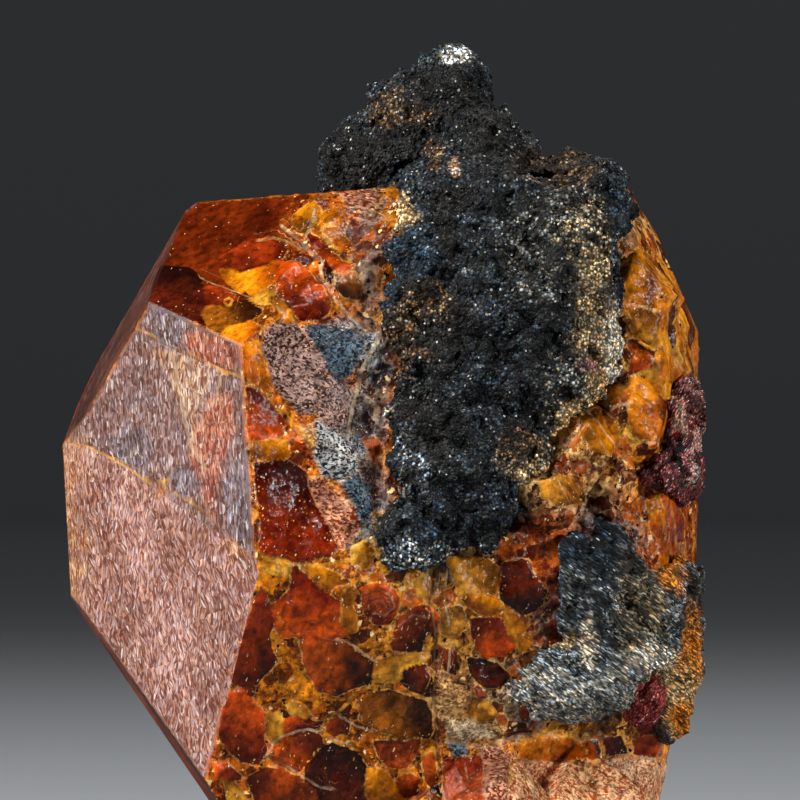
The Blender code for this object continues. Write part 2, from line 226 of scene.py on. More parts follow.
# Tones of the garnet: darker and lighter side (in the cells the lighter side is partly a painted glow), then how
# glassy, how thick its painted glints are and how pale-rimmed it is
TONES = {
    "toffee": ((54, 11, 1), (96, 31, 4), 0.92, 0.25, 0.0),
    "wine": ((58, 11, 3), (134, 42, 8), 0.92, 0.3, 0.6),
    "glinting_wine": ((50, 6, 2), (122, 32, 6), 0.95, 1.3, 0.5),
    "black_wine": ((26, 6, 3), (78, 22, 6), 0.95, 0.25, 0.9),
    "russet": ((76, 20, 3), (156, 60, 10), 0.9, 0.3, 0.9),
    "ruby": ((78, 13, 2), (196, 72, 8), 0.92, 0.3, 0.6),
    "sparkling_ruby": ((96, 20, 4), (186, 72, 18), 0.9, 1.6, 0.4),
    "sparkling_wine": ((40, 8, 4), (120, 42, 14), 0.95, 1.5, 0.4),
    "ember": ((106, 22, 2), (196, 76, 7), 0.85, 0.25, 0.8),
    "flame": ((142, 58, 3), (216, 126, 12), 0.85, 0.25, 0.6),
    "amber": ((112, 54, 2), (200, 120, 8), 0.8, 0.35, 0.7),
    "gold": ((132, 76, 10), (222, 160, 50), 0.75, 0.45, 0.6),
    "honey": ((120, 68, 12), (208, 140, 40), 0.7, 0.5, 0.7),
    "olive": ((46, 18, 3), (132, 72, 12), 0.9, 0.3, 0.8),
    "brown": ((32, 9, 3), (164, 68, 10), 0.92, 0.3, 0.9),
    "ochre": ((126, 86, 48), (216, 168, 104), 0.35, 0.7, 0.3),
    "cream": ((150, 122, 90), (240, 216, 176), 0.3, 0.8, 0.0),
    "mauve": ((42, 11, 7), (158, 128, 118), 0.3, 0.8, 0.2),
    "slate": ((6, 13, 22), (74, 92, 108), 0.35, 0.5, 0.2),
    "glitter_slate": ((14, 24, 34), (176, 178, 176), 0.4, 1.2, 0.2),
    "salmon": ((162, 72, 22), (238, 190, 142), 0.45, 0.8, 0.5),
    "rose_brown": ((96, 34, 14), (190, 134, 104), 0.6, 0.6, 0.5),
    "striped_red": ((116, 32, 8), (188, 80, 30), 0.5, 0.9, 0.5),
    "amber_ground": ((124, 54, 3), (212, 128, 16), 0.8, 0.35, 0.0),
    "honey_ground": ((96, 52, 9), (214, 152, 56), 0.7, 0.5, 0.0),
    "ember_ground": ((104, 28, 3), (190, 88, 8), 0.85, 0.3, 0.0),
    "frost": ((84, 30, 8), (148, 128, 112), 0.35, 0.8, 0.0),
    "film": ((8, 18, 30), (118, 128, 134), 0.4, 0.9, 0.0),
    # Near-black ground: painted shade beside the matrix
    "painted_shade_ground": ((10, 12, 14), (88, 80, 62), 0.4, 0.6, 0.0),
    "ochre_ground": ((78, 46, 16), (206, 166, 106), 0.5, 0.8, 0.0),
    "scales": ((90, 38, 3), (212, 130, 18), 0.8, 0.2, 0.0),
    "pink_ground": ((120, 52, 24), (210, 158, 108), 0.5, 0.9, 0.0),
    "sliver": ((22, 8, 5), (74, 36, 22), 0.2, 0.0, 0.0),
    # Tones of the left face: its own brown-red with painted sheen laid over it
    "painted_sheen_blue": ((98, 90, 94), (136, 128, 138), 0.2, 0.0, 0.0),
    "painted_sheen_rose": ((150, 108, 92), (190, 152, 140), 0.2, 0.0, 0.0),
    "painted_sheen_cream": ((168, 130, 88), (210, 180, 142), 0.2, 0.0, 0.0),
    "painted_sheen_orange": ((170, 84, 40), (204, 128, 82), 0.2, 0.0, 0.0),
    "painted_sheen_mauve": ((118, 88, 80), (150, 124, 120), 0.2, 0.0, 0.0),
    "painted_sheen_gold": ((176, 120, 62), (232, 188, 130), 0.2, 0.0, 0.0),
}
TONES = {name: (linear(*dark), linear(*pale), *rest) for name, (dark, pale, *rest) in TONES.items()}

# Tones whose lighter and darker sides lie finely mixed instead of running into each other
MOTTLED = ("mauve", "slate", "glitter_slate", "salmon", "rose_brown", "ochre", "cream", "painted_sheen_cream")

# Cells and patches seen from the front: tone, outline and, where it matters, the way in which it gets lighter
# toward its painted glow, in degrees clockwise from the right. Outlines and lines give across and down in turn for
# each point.
SHAPES = (
    # Dark strip and burnt-orange cell beside the left face
    ("wine", (262, 588, 272, 608, 278, 622, 270, 634, 273, 650, 278, 662, 266, 674, 256, 684, 252, 699,
        240, 688, 226, 682, 240, 640, 253, 600)),
    ("ember", (296, 566, 306, 575, 318, 588, 330, 594, 340, 603, 338, 620, 346, 634, 330, 637, 310, 640,
        296, 636, 284, 640, 276, 625, 268, 606, 282, 598, 292, 590)),
    ("amber", (303, 563, 318, 566, 338, 574, 350, 580, 334, 584, 330, 592, 322, 586, 312, 576)),
    ("gold", (260, 554, 275, 557, 292, 562, 296, 566, 290, 574, 270, 573, 261, 568)),
    ("amber", (346, 588, 353, 584, 356, 592, 352, 604, 355, 618, 357, 628, 348, 631, 341, 624, 342, 606)),
    ("sparkling_ruby", (362, 588, 376, 582, 392, 585, 400, 598, 396, 612, 388, 622, 374, 622, 364, 612)),
    ("sparkling_wine", (398, 616, 412, 610, 424, 606, 436, 618, 430, 630, 422, 640, 423, 650, 408, 651,
        394, 648, 396, 634)),
    ("gold", (414, 580, 424, 576, 436, 582, 438, 594, 430, 600, 419, 597)),
    ("ember", (302, 600, 318, 606, 330, 604, 334, 620, 318, 630, 300, 624)),
    # Dark brown cell and its amber setting
    ("brown", (302, 642, 326, 638, 345, 643, 360, 655, 374, 663, 371, 684, 352, 688, 335, 695, 318, 690,
        306, 672), 190),
    ("flame", (306, 650, 312, 650, 316, 662, 315, 674, 310, 666)),
    ("gold", (374, 662, 390, 656, 404, 655, 418, 652, 424, 660, 408, 668, 400, 680, 384, 684, 372, 682)),
    ("black_wine", (402, 670, 414, 662, 424, 664, 428, 678, 422, 694, 410, 690, 402, 682)),
    ("olive", (360, 702, 370, 694, 388, 691, 410, 698, 424, 703, 432, 718, 430, 738, 402, 739, 378, 731,
        362, 720)),
    ("russet", (372, 740, 400, 742, 422, 742, 418, 756, 404, 770, 388, 768, 378, 756)),
    # Ember cell and arches at the lower left
    ("ruby", (226, 694, 240, 690, 254, 700, 264, 712, 262, 736, 266, 752, 258, 764, 240, 760, 222, 740,
        214, 720), 280),
    ("gold", (270, 713, 280, 712, 286, 722, 282, 736, 272, 742, 265, 732)),
    ("gold", (288, 706, 296, 703, 306, 708, 313, 715, 304, 717, 291, 713)),
    ("ruby", (284, 722, 300, 716, 322, 722, 318, 729, 296, 731, 285, 733)),
    ("russet", (284, 739, 298, 733, 318, 734, 321, 744, 312, 755, 302, 767, 296, 773, 280, 763, 269, 757,
        275, 748)),
    ("black_wine", (323, 747, 332, 744, 346, 750, 358, 758, 366, 770, 362, 786, 366, 800, 368, 830, 336, 832,
        320, 800, 306, 778, 305, 769, 314, 757)),
    ("russet", (328, 720, 340, 716, 352, 722, 346, 734, 334, 737, 326, 731)),
    ("amber", (368, 770, 384, 772, 396, 790, 400, 812, 384, 830, 372, 810, 366, 788)),
    ("russet", (398, 779, 410, 775, 419, 780, 417, 795, 404, 799, 396, 790)),
    ("brown", (424, 760, 434, 754, 436, 775, 441, 793, 432, 790, 424, 775)),
    ("russet", (266, 768, 282, 769, 300, 779, 317, 790, 316, 812, 290, 830, 258, 806, 246, 778)),
    ("gold", (222, 778, 236, 784, 246, 800, 240, 816, 226, 800)),
    ("ruby", (214, 764, 228, 766, 240, 776, 230, 780, 214, 780)),
    ("ember", (404, 806, 424, 800, 438, 812, 436, 836, 408, 836)),
    # Right of the upright crack
    ("honey", (448, 560, 470, 556, 490, 560, 500, 570, 498, 590, 480, 597, 462, 594, 456, 580)),
    ("black_wine", (503, 562, 515, 558, 528, 562, 534, 578, 548, 590, 540, 604, 524, 616, 512, 612, 500, 598,
        502, 580)),
    ("amber", (462, 600, 470, 592, 490, 594, 504, 606, 496, 616, 478, 613)),
    ("ruby", (470, 618, 486, 617, 500, 620, 508, 634, 516, 646, 504, 656, 484, 656, 474, 640)),
    ("amber", (506, 604, 516, 613, 528, 619, 526, 632, 534, 641, 524, 650, 515, 641, 508, 626)),
    ("black_wine", (468, 658, 482, 660, 498, 664, 508, 677, 500, 690, 484, 688, 470, 676)),
    ("ochre", (440, 686, 456, 686, 470, 700, 462, 716, 444, 712)),
    ("honey", (472, 698, 490, 704, 498, 716, 480, 722, 466, 714)),
    ("cream", (446, 720, 480, 726, 496, 738, 470, 742, 448, 736)),
    ("slate", (446, 742, 466, 742, 470, 755, 456, 760)),
    ("sparkling_wine", (440, 646, 455, 650, 461, 661, 455, 675, 444, 671)),
    ("honey", (440, 612, 460, 606, 466, 622, 456, 636, 442, 632)),
    ("ruby", (430, 604, 438, 618, 434, 640, 428, 622)),
    ("olive", (520, 655, 536, 650, 548, 662, 538, 674, 522, 670)),
    # Faces of the smaller garnets at the foot
    ("striped_red", (446, 763, 462, 759, 481, 757, 483, 790, 484, 832, 452, 834, 444, 800)),
    ("rose_brown", (483, 751, 500, 748, 512, 758, 508, 778, 513, 800, 520, 832, 486, 832)),
    ("salmon", (516, 768, 540, 763, 580, 766, 590, 780, 598, 800, 594, 832, 524, 832, 512, 790)),
    ("salmon", (594, 768, 616, 764, 650, 762, 672, 770, 676, 800, 672, 832, 604, 832, 602, 796)),
    ("flame", (520, 746, 540, 739, 562, 741, 584, 745, 585, 759, 560, 763, 536, 760, 522, 758)),
    ("brown", (588, 742, 600, 744, 602, 758, 590, 760)),
    ("black_wine", (606, 742, 624, 740, 628, 756, 608, 758)),
    ("ember", (636, 743, 650, 739, 664, 744, 666, 758, 648, 760, 636, 756)),
    ("wine", (636, 723, 654, 720, 666, 726, 662, 736, 644, 737)),
    # Upper front
    ("black_wine", (158, 265, 186, 268, 199, 277, 205, 296, 203, 316, 190, 321, 168, 311, 148, 302,
        154, 280)),
    ("wine", (204, 284, 222, 286, 238, 300, 226, 311, 207, 306)),
    ("wine", (222, 257, 244, 244, 268, 236, 284, 244, 282, 258, 262, 264, 244, 273, 228, 267)),
    ("amber", (219, 269, 239, 269, 249, 282, 240, 290, 223, 279)),
    ("flame", (245, 273, 262, 266, 279, 260, 280, 270, 268, 284, 251, 292, 243, 284)),
    ("gold", (250, 298, 258, 290, 272, 288, 276, 295, 268, 305)),
    ("olive", (205, 319, 210, 305, 230, 302, 250, 301, 262, 309, 252, 318, 238, 324, 218, 334, 207, 329)),
    ("flame", (220, 336, 236, 327, 252, 322, 262, 330, 258, 342, 240, 344, 228, 342)),
    ("ruby", (279, 262, 296, 262, 310, 272, 322, 290, 330, 306, 322, 318, 300, 320, 288, 306, 279, 290,
        275, 276)),
    ("flame", (284, 283, 291, 284, 293, 292, 287, 295, 282, 290)),
    ("amber", (269, 292, 280, 298, 292, 312, 292, 322, 282, 313, 272, 303)),
    ("ember", (306, 232, 318, 236, 330, 250, 341, 262, 352, 264, 346, 274, 334, 270, 321, 256)),
    ("flame", (320, 212, 334, 206, 344, 216, 346, 232, 352, 250, 342, 252, 330, 238, 322, 226)),
    ("amber", (292, 214, 303, 206, 312, 200, 320, 206, 316, 222, 304, 231, 294, 228)),
    ("black_wine", (322, 260, 328, 258, 332, 272, 330, 284, 325, 276)),
    ("olive", (338, 276, 352, 272, 362, 286, 358, 298, 344, 296, 334, 286)),
    ("rose_brown", (336, 192, 372, 187, 380, 200, 368, 212, 350, 206)),
    ("mauve", (268, 330, 284, 322, 300, 326, 312, 336, 322, 352, 326, 368, 322, 392, 314, 414, 300, 414,
        288, 400, 275, 388, 270, 366, 264, 348)),
    ("slate", (303, 326, 330, 326, 350, 330, 364, 340, 361, 352, 353, 372, 338, 382, 327, 370, 319, 352,
        310, 336)),
    ("mauve", (324, 374, 345, 382, 357, 390, 350, 410, 340, 430, 322, 424, 317, 412, 323, 392)),
    ("glitter_slate", (317, 420, 342, 434, 354, 450, 358, 472, 342, 482, 325, 477, 315, 456)),
    ("slate", (340, 484, 358, 474, 372, 490, 374, 510, 362, 524, 352, 500)),
    ("flame", (243, 346, 258, 341, 266, 353, 272, 380, 269, 393, 254, 383, 244, 372)),
    ("ruby", (247, 387, 262, 393, 278, 409, 284, 424, 282, 434, 262, 438, 250, 438)),
    ("amber", (250, 442, 270, 440, 285, 441, 290, 456, 272, 460, 252, 457)),
    ("glinting_wine", (255, 463, 290, 461, 306, 471, 311, 490, 322, 512, 336, 545, 333, 556, 300, 562,
        262, 554, 260, 510)),
    ("rose_brown", (308, 480, 322, 477, 340, 501, 355, 507, 361, 520, 352, 540, 338, 545, 325, 516,
        313, 498)),
    ("ochre", (370, 512, 386, 510, 388, 524, 396, 538, 384, 540, 378, 526)),
    ("gold", (352, 547, 366, 541, 376, 552, 368, 566, 352, 562)),
    ("ochre", (300, 426, 316, 424, 320, 440, 312, 448)),
    # Right shoulder and wall
    ("amber", (632, 251, 646, 249, 657, 258, 661, 284, 658, 308, 642, 300, 628, 298, 627, 276)),
    ("gold", (636, 270, 646, 266, 650, 280, 640, 288)),
    ("honey", (632, 310, 648, 307, 660, 318, 662, 341, 650, 350, 637, 335)),
    ("brown", (630, 340, 641, 338, 655, 350, 651, 363, 640, 358, 632, 352)),
    ("ember", (631, 358, 650, 364, 641, 372, 630, 373)),
    ("gold", (640, 372, 656, 366, 668, 379, 672, 394, 656, 384)),
    ("flame", (630, 378, 650, 380, 663, 386, 668, 402, 672, 422, 660, 438, 640, 438, 629, 420)),
    ("gold", (636, 402, 648, 398, 656, 410, 648, 422, 638, 418)),
    ("amber", (580, 413, 598, 407, 616, 420, 620, 440, 610, 455, 592, 448, 582, 430)),
    ("flame", (608, 388, 620, 384, 632, 392, 626, 402, 612, 404)),
    ("honey", (540, 480, 560, 474, 582, 484, 584, 500, 560, 506, 542, 496)),
    ("flame", (650, 501, 660, 497, 668, 508, 670, 534, 662, 541, 653, 530)),
    ("ember", (664, 496, 676, 500, 686, 520, 687, 546, 674, 544, 672, 520)),
    ("flame", (658, 545, 668, 542, 680, 548, 686, 580, 674, 590, 664, 572)),
    ("brown", (652, 226, 660, 236, 666, 248, 658, 253, 653, 242)),
    ("brown", (665, 262, 675, 275, 679, 290, 669, 298, 663, 282)),
    ("olive", (663, 324, 672, 331, 682, 350, 684, 358, 669, 349, 664, 338)),
    ("brown", (663, 351, 672, 353, 673, 366, 670, 382, 662, 371)),
    ("ember", (678, 284, 690, 300, 700, 330, 704, 348, 694, 354, 691, 332, 684, 310)),
    ("flame", (676, 262, 688, 284, 694, 300, 684, 296)),
    ("ochre", (695, 348, 706, 340, 707, 354, 699, 378, 691, 370)),
    ("amber", (676, 358, 686, 372, 692, 392, 684, 398, 678, 380)),
    # Patches on the left face: its own colour with painted sheen
    ("painted_sheen_blue", (150, 304, 166, 311, 180, 318, 184, 330, 176, 346, 160, 341, 144, 330)),
    ("painted_sheen_orange", (184, 331, 204, 337, 226, 345, 236, 352, 232, 372, 214, 366, 188, 352)),
    ("painted_sheen_cream", (150, 350, 175, 353, 199, 362, 212, 374, 204, 400, 190, 424, 178, 402, 168, 372)),
    ("painted_sheen_blue", (108, 446, 124, 430, 142, 428, 150, 448, 142, 476, 122, 466)),
    ("painted_sheen_mauve", (98, 400, 116, 372, 150, 362, 170, 392, 172, 440, 152, 446, 142, 426, 118, 430)),
    ("painted_sheen_orange", (196, 432, 212, 398, 228, 394, 234, 430, 222, 460, 212, 500, 216, 520, 202, 500,
        192, 466)),
    ("painted_sheen_blue", (226, 474, 246, 450, 254, 500, 256, 540, 240, 552, 226, 512)),
    ("painted_sheen_blue", (166, 482, 178, 467, 197, 470, 202, 483, 190, 500, 172, 498)),
    ("painted_sheen_gold", (226, 540, 240, 538, 246, 556, 232, 562)),
    ("painted_sheen_rose", (150, 594, 168, 590, 184, 600, 176, 614, 158, 612)),
)

# Soft regions of the ground between the cells: across, down, half-width, half-height and tone. The near-black
# regions are painted shade along the edges of the matrix and under its crest
REGIONS = (
    (550, 185, 90, 34, "painted_shade_ground"), (300, 690, 110, 130, "amber_ground"), (400, 610, 50, 50, "honey_ground"),
    (320, 610, 50, 50, "ember_ground"), (400, 730, 40, 80, "amber_ground"),
    (475, 610, 44, 50, "honey_ground"), (470, 700, 60, 40, "ochre_ground"),
    (560, 470, 60, 40, "ochre_ground"), (600, 430, 40, 40, "honey_ground"),
    (600, 345, 34, 50, "ochre_ground"), (600, 380, 24, 20, "pink_ground"), (505, 510, 40, 40, "painted_shade_ground"),
    (540, 560, 40, 50, "ember_ground"), (590, 600, 50, 90, "film"), (560, 690, 80, 40, "film"),
    (610, 735, 90, 14, "honey_ground"), (640, 300, 26, 80, "amber_ground"), (684, 320, 28, 120, "scales"),
    (634, 215, 16, 40, "ochre_ground"), (680, 640, 34, 80, "honey_ground"),
    (672, 540, 26, 60, "ember_ground"), (690, 600, 20, 60, "scales"), (580, 800, 110, 40, "pink_ground"),
    (300, 250, 60, 60, "ember_ground"), (250, 310, 50, 20, "amber_ground"), (368, 250, 15, 60, "frost"),
    (372, 360, 18, 40, "film"), (360, 430, 26, 40, "film"), (372, 410, 10, 24, "frost"),
    (262, 430, 20, 60, "ember_ground"), (300, 450, 30, 30, "ember_ground"), (365, 520, 22, 44, "film"),
    (252, 360, 30, 30, "ember_ground"), (240, 740, 50, 60, "ember_ground"),
    (382, 322, 12, 12, "honey_ground"), (345, 345, 30, 24, "film"), (380, 545, 26, 20, "honey_ground"),
    (450, 560, 50, 16, "painted_shade_ground"), (300, 560, 50, 14, "amber_ground"),
)

# Lines on the surface: points, half-width, tone, strength and depth in millimetres
LINES = (
    ((198, 276, 218, 284, 238, 291, 258, 299), 0.4, "ochre", 0.8, 0.12),
    ((280, 224, 300, 238, 310, 250, 320, 262, 323, 280, 335, 300, 352, 318,
        366, 330), 1.7, "cream", 0.8, 0.1),
    ((303, 243, 306, 232, 312, 220, 315, 208), 1.0, "cream", 0.95, 0.0),
    ((312, 218, 324, 236, 338, 250, 352, 264), 2.6, "gold", 0.9, 0.04),
    ((352, 268, 340, 278), 1.1, "cream", 0.8, 0.0),
    ((256, 240, 272, 236, 288, 240, 302, 248), 1.2, "ochre", 0.7, 0.05),
    ((322, 256, 330, 270, 331, 284), 1.6, "black_wine", 0.8, 0.1),
    ((325, 300, 345, 312, 362, 322, 368, 330), 2.4, "amber", 0.8, 0.03),
    ((225, 300, 228, 298, 232, 300, 232, 304, 228, 306, 225, 303), 0.9, "gold", 0.8, 0.0),
    ((134, 327, 150, 335, 167, 345, 190, 354, 215, 367, 242, 378), 1.0, "gold", 1.0, 0.08),
    ((150, 338, 168, 348, 192, 357, 216, 370), 0.4, "black_wine", 0.9, 0.05),
    ((242, 376, 262, 391, 280, 409, 296, 428, 316, 447), 2.6, "honey", 0.9, 0.05),
    ((256, 384, 276, 402, 292, 420, 312, 440), 1.0, "gold", 0.9, -0.02),
    ((64, 444, 86, 448, 104, 457, 128, 470, 150, 485), 1.0, "gold", 1.0, 0.06),
    ((153, 484, 157, 497), 3.0, "amber", 1.0, 0.3),
    ((151, 482, 147, 477), 0.7, "black_wine", 1.0, 0.1),
    ((150, 485, 152, 500), 0.6, "black_wine", 1.0, 0.1),
    ((158, 483, 168, 479), 1.4, "gold", 1.0, 0.1),
    ((162, 492, 174, 500, 190, 506, 206, 516, 217, 530, 226, 540), 0.5, "black_wine", 1.0, 0.06),
    ((164, 490, 182, 498, 200, 508, 214, 522), 1.3, "gold", 0.8, 0.0),
    ((176, 466, 190, 465, 201, 472, 203, 480, 198, 493, 186, 499), 0.5, "black_wine", 1.0, 0.08),
    ((150, 501, 136, 507, 126, 518, 120, 532), 0.3, "brown", 0.9, 0.04),
    ((204, 458, 222, 452, 240, 450), 0.3, "brown", 0.9, 0.04),
    ((222, 372, 218, 395, 202, 424, 190, 442), 1.0, "painted_sheen_cream", 0.8, 0.0),
    ((172, 350, 178, 380, 184, 420, 192, 448, 206, 470), 1.8, "painted_sheen_cream", 0.6, 0.0),
    ((384, 326, 372, 350, 360, 376, 352, 408, 347, 438), 1.8, "cream", 0.75, -0.05),
    ((388, 336, 378, 356, 370, 380), 1.1, "glitter_slate", 0.9, -0.05),
    ((366, 400, 378, 408, 374, 424), 3.0, "cream", 0.6, -0.06),
    ((374, 318, 384, 322, 384, 332), 3.4, "gold", 0.8, -0.04),
    ((256, 557, 290, 563, 320, 566, 345, 560, 380, 552), 1.6, "gold", 0.8, -0.02),
    # Painted shade in the crevice along the matrix's left edge, over a shallow groove
    ((380, 450, 378, 500, 382, 530), 3.2, "black_wine", 0.9, 0.3),
    ((265, 757, 288, 767, 304, 778, 320, 787, 334, 790), 1.0, "cream", 0.85, 0.05),
    ((266, 757, 274, 742, 286, 735, 300, 730, 322, 731), 1.0, "cream", 0.85, 0.02),
    ((432, 560, 431, 600, 436, 640, 434, 700, 438, 760, 445, 800, 446, 850), 1.0, "ochre", 0.9, 0.2),
    ((448, 570, 444, 600, 452, 640, 446, 680), 0.9, "cream", 0.7, 0.0),
    ((326, 637, 346, 641, 362, 652, 376, 662), 0.8, "cream", 0.8, 0.02),
    ((350, 700, 366, 689, 388, 686, 410, 692, 430, 703), 1.4, "gold", 0.9, 0.0),
    ((316, 722, 338, 712, 356, 697), 1.1, "gold", 0.9, 0.0),
    ((340, 716, 356, 727, 374, 733), 0.9, "cream", 0.8, 0.0),
    ((330, 740, 342, 743, 352, 748), 0.9, "cream", 0.8, 0.02),
    ((400, 774, 412, 769, 424, 759, 434, 748), 1.1, "gold", 0.85, 0.0),
    ((252, 700, 262, 708, 276, 702, 296, 698), 1.1, "gold", 0.8, 0.0),
    ((276, 604, 283, 630, 279, 654), 1.0, "amber", 0.8, 0.0),
    ((346, 588, 341, 604, 342, 622, 350, 632), 0.9, "gold", 0.8, 0.0),
    ((366, 592, 378, 588, 392, 594, 394, 606, 384, 614, 372, 612), 0.9, "cream", 0.7, 0.0),
    ((372, 600, 382, 598, 386, 606), 0.8, "cream", 0.7, 0.0),
    ((400, 624, 414, 614, 426, 616), 0.8, "cream", 0.6, 0.0),
    ((444, 600, 462, 616, 472, 640, 482, 658), 1.6, "honey", 0.9, 0.0),
    ((462, 640, 458, 660, 466, 684), 1.3, "honey", 0.9, 0.0),
    ((500, 605, 516, 634, 522, 660), 1.0, "gold", 0.8, 0.0),
    ((446, 742, 480, 748, 520, 738, 560, 736), 1.8, "cream", 0.7, 0.1),
    ((582, 606, 590, 626, 600, 660), 1.3, "cream", 0.8, 0.0),
    ((588, 612, 602, 640, 612, 664), 0.9, "cream", 0.7, 0.0),
    ((636, 248, 652, 254, 662, 266, 668, 292, 666, 318), 1.1, "brown", 0.85, 0.08),
    ((628, 303, 645, 306, 660, 312), 1.0, "cream", 0.7, 0.06),
    ((640, 196, 650, 210, 660, 235, 664, 250), 1.6, "cream", 0.7, 0.04),
    ((662, 262, 672, 282, 677, 302, 690, 330, 697, 346), 1.1, "cream", 0.8, 0.04),
    ((664, 298, 670, 314, 677, 332, 690, 358, 697, 374), 1.0, "cream", 0.8, 0.04),
    ((662, 322, 666, 346, 680, 362, 692, 386), 1.0, "cream", 0.75, 0.04),
    ((674, 350, 679, 376, 688, 398), 1.0, "cream", 0.75, 0.03),
    ((676, 300, 690, 306, 700, 334), 0.9, "cream", 0.7, 0.03),
    ((684, 350, 696, 362, 700, 352), 0.9, "cream", 0.7, 0.03),
    ((652, 356, 664, 372, 674, 396, 678, 416), 1.4, "cream", 0.75, 0.06),
    ((636, 376, 650, 368, 664, 376, 672, 392), 1.3, "gold", 0.9, 0.04),
    ((630, 402, 612, 408, 600, 402), 1.6, "cream", 0.75, 0.0),
    ((588, 410, 604, 432, 616, 452), 0.9, "cream", 0.75, 0.0),
    ((668, 440, 650, 444, 636, 438), 1.3, "cream", 0.7, 0.05),
    ((652, 506, 664, 524, 668, 556), 0.9, "brown", 0.8, 0.04),
    ((668, 498, 676, 520, 680, 548), 0.9, "gold", 0.8, 0.0),
    ((452, 766, 456, 800, 460, 832), 0.8, "brown", 0.6, 0.0),
    ((466, 764, 470, 800, 474, 832), 0.8, "salmon", 0.6, 0.0),
    ((528, 766, 534, 800), 1.0, "cream", 0.7, 0.0),
)


def blend_tones(base, tone_colour, share):
    return base * (1.0 - share[:, None]) + tone_colour * share[:, None]


def tones_at(tone, light):
    dark, pale = TONES[tone][:2]
    return dark + (pale - dark) * light[:, None]


def points_of(numbers):
    return np.array(numbers, float).reshape(-1, 2)


def inside_outline(spots, points):
    """How far each spot lies inside a closed outline, less than zero outside."""
    inside = np.zeros(len(spots), bool)
    away = np.full(len(spots), FAR_AWAY)
    for a, b in zip(points, np.roll(points, -1, axis=0)):
        crosses = (a[1] > spots[:, 1]) != (b[1] > spots[:, 1])
        rise = b[1] - a[1] if b[1] != a[1] else 1e-9
        inside ^= crosses & (spots[:, 0] < a[0] + (spots[:, 1] - a[1]) * (b[0] - a[0]) / rise)
        run = b - a
        t = np.clip(((spots - a) @ run) / (run @ run), 0.0, 1.0)
        away = np.minimum(away, np.linalg.norm(spots - a - t[:, None] * run, axis=1))
    return np.where(inside, away, -away)


def beside_line(spots, points):
    """Signed distance to a line, more than zero on its right, and how far each spot lies beyond its ends."""
    best = np.full(len(spots), FAR_AWAY)
    signed = np.zeros(len(spots))
    beyond = np.zeros(len(spots))
    for index, (a, b) in enumerate(zip(points, points[1:])):
        way = b - a
        t = (spots - a) @ way / (way @ way)
        gap = spots - (a + np.clip(t, 0.0, 1.0)[:, None] * way)
        away = np.hypot(gap[:, 0], gap[:, 1])
        near = away < best
        side = np.where(way[0] * gap[:, 1] - way[1] * gap[:, 0] > 0, 1.0, -1.0)
        past = np.zeros(len(spots))
        if index == 0:
            past = np.maximum(past, -t * np.hypot(*way))
        if index == len(points) - 2:
            past = np.maximum(past, (t - 1.0) * np.hypot(*way))
        best = np.where(near, away, best)
        signed = np.where(near, away * side, signed)
        beyond = np.where(near, past, beyond)
    return signed, beyond


def divide_edges(bm, lengths):
    """Halves edges until those that face the front and the others are short enough, in millimetres."""
    for limit_front, limit_rest in lengths:
        bm.normal_update()
        long_edges = []
        for e in bm.edges:
            a, b = e.verts
            facing = min(f.normal.y for f in e.link_faces) < -0.2
            if (a.co - b.co).length > (limit_front if facing else limit_rest) * MM:
                long_edges.append(e)
        bmesh.ops.subdivide_edges(bm, edges=long_edges, cuts=1, use_grid_fill=False)
        bmesh.ops.triangulate(bm, faces=[f for f in bm.faces if len(f.verts) > 3])
    bm.normal_update()


def ground_looks(co, spots):
    """Deep tone, pale tone, glassiness and share of painted glints of the ground, run together from the soft
    regions.
    """
    far = np.stack([ground(co, 1.6, 57, 3), ground(co, 1.6, 59, 3)], axis=1) * 16.0
    weight = np.full(len(co), 0.25)
    total = weight[:, None] * np.concatenate([*TONES["amber_ground"][:2], (0.8, 0.3)])
    for across, down, half_width, half_height, tone in REGIONS:
        away = (((spots + far - (across, down)) / (half_width, half_height)) ** 2).sum(1)
        share = np.exp(-2.6 * away) * 8.0
        total += share[:, None] * np.concatenate([*TONES[tone][:2], TONES[tone][2:4]])
        weight += share
    total /= weight[:, None]
    return total[:, :3], total[:, 3:6], total[:, 6], total[:, 7]


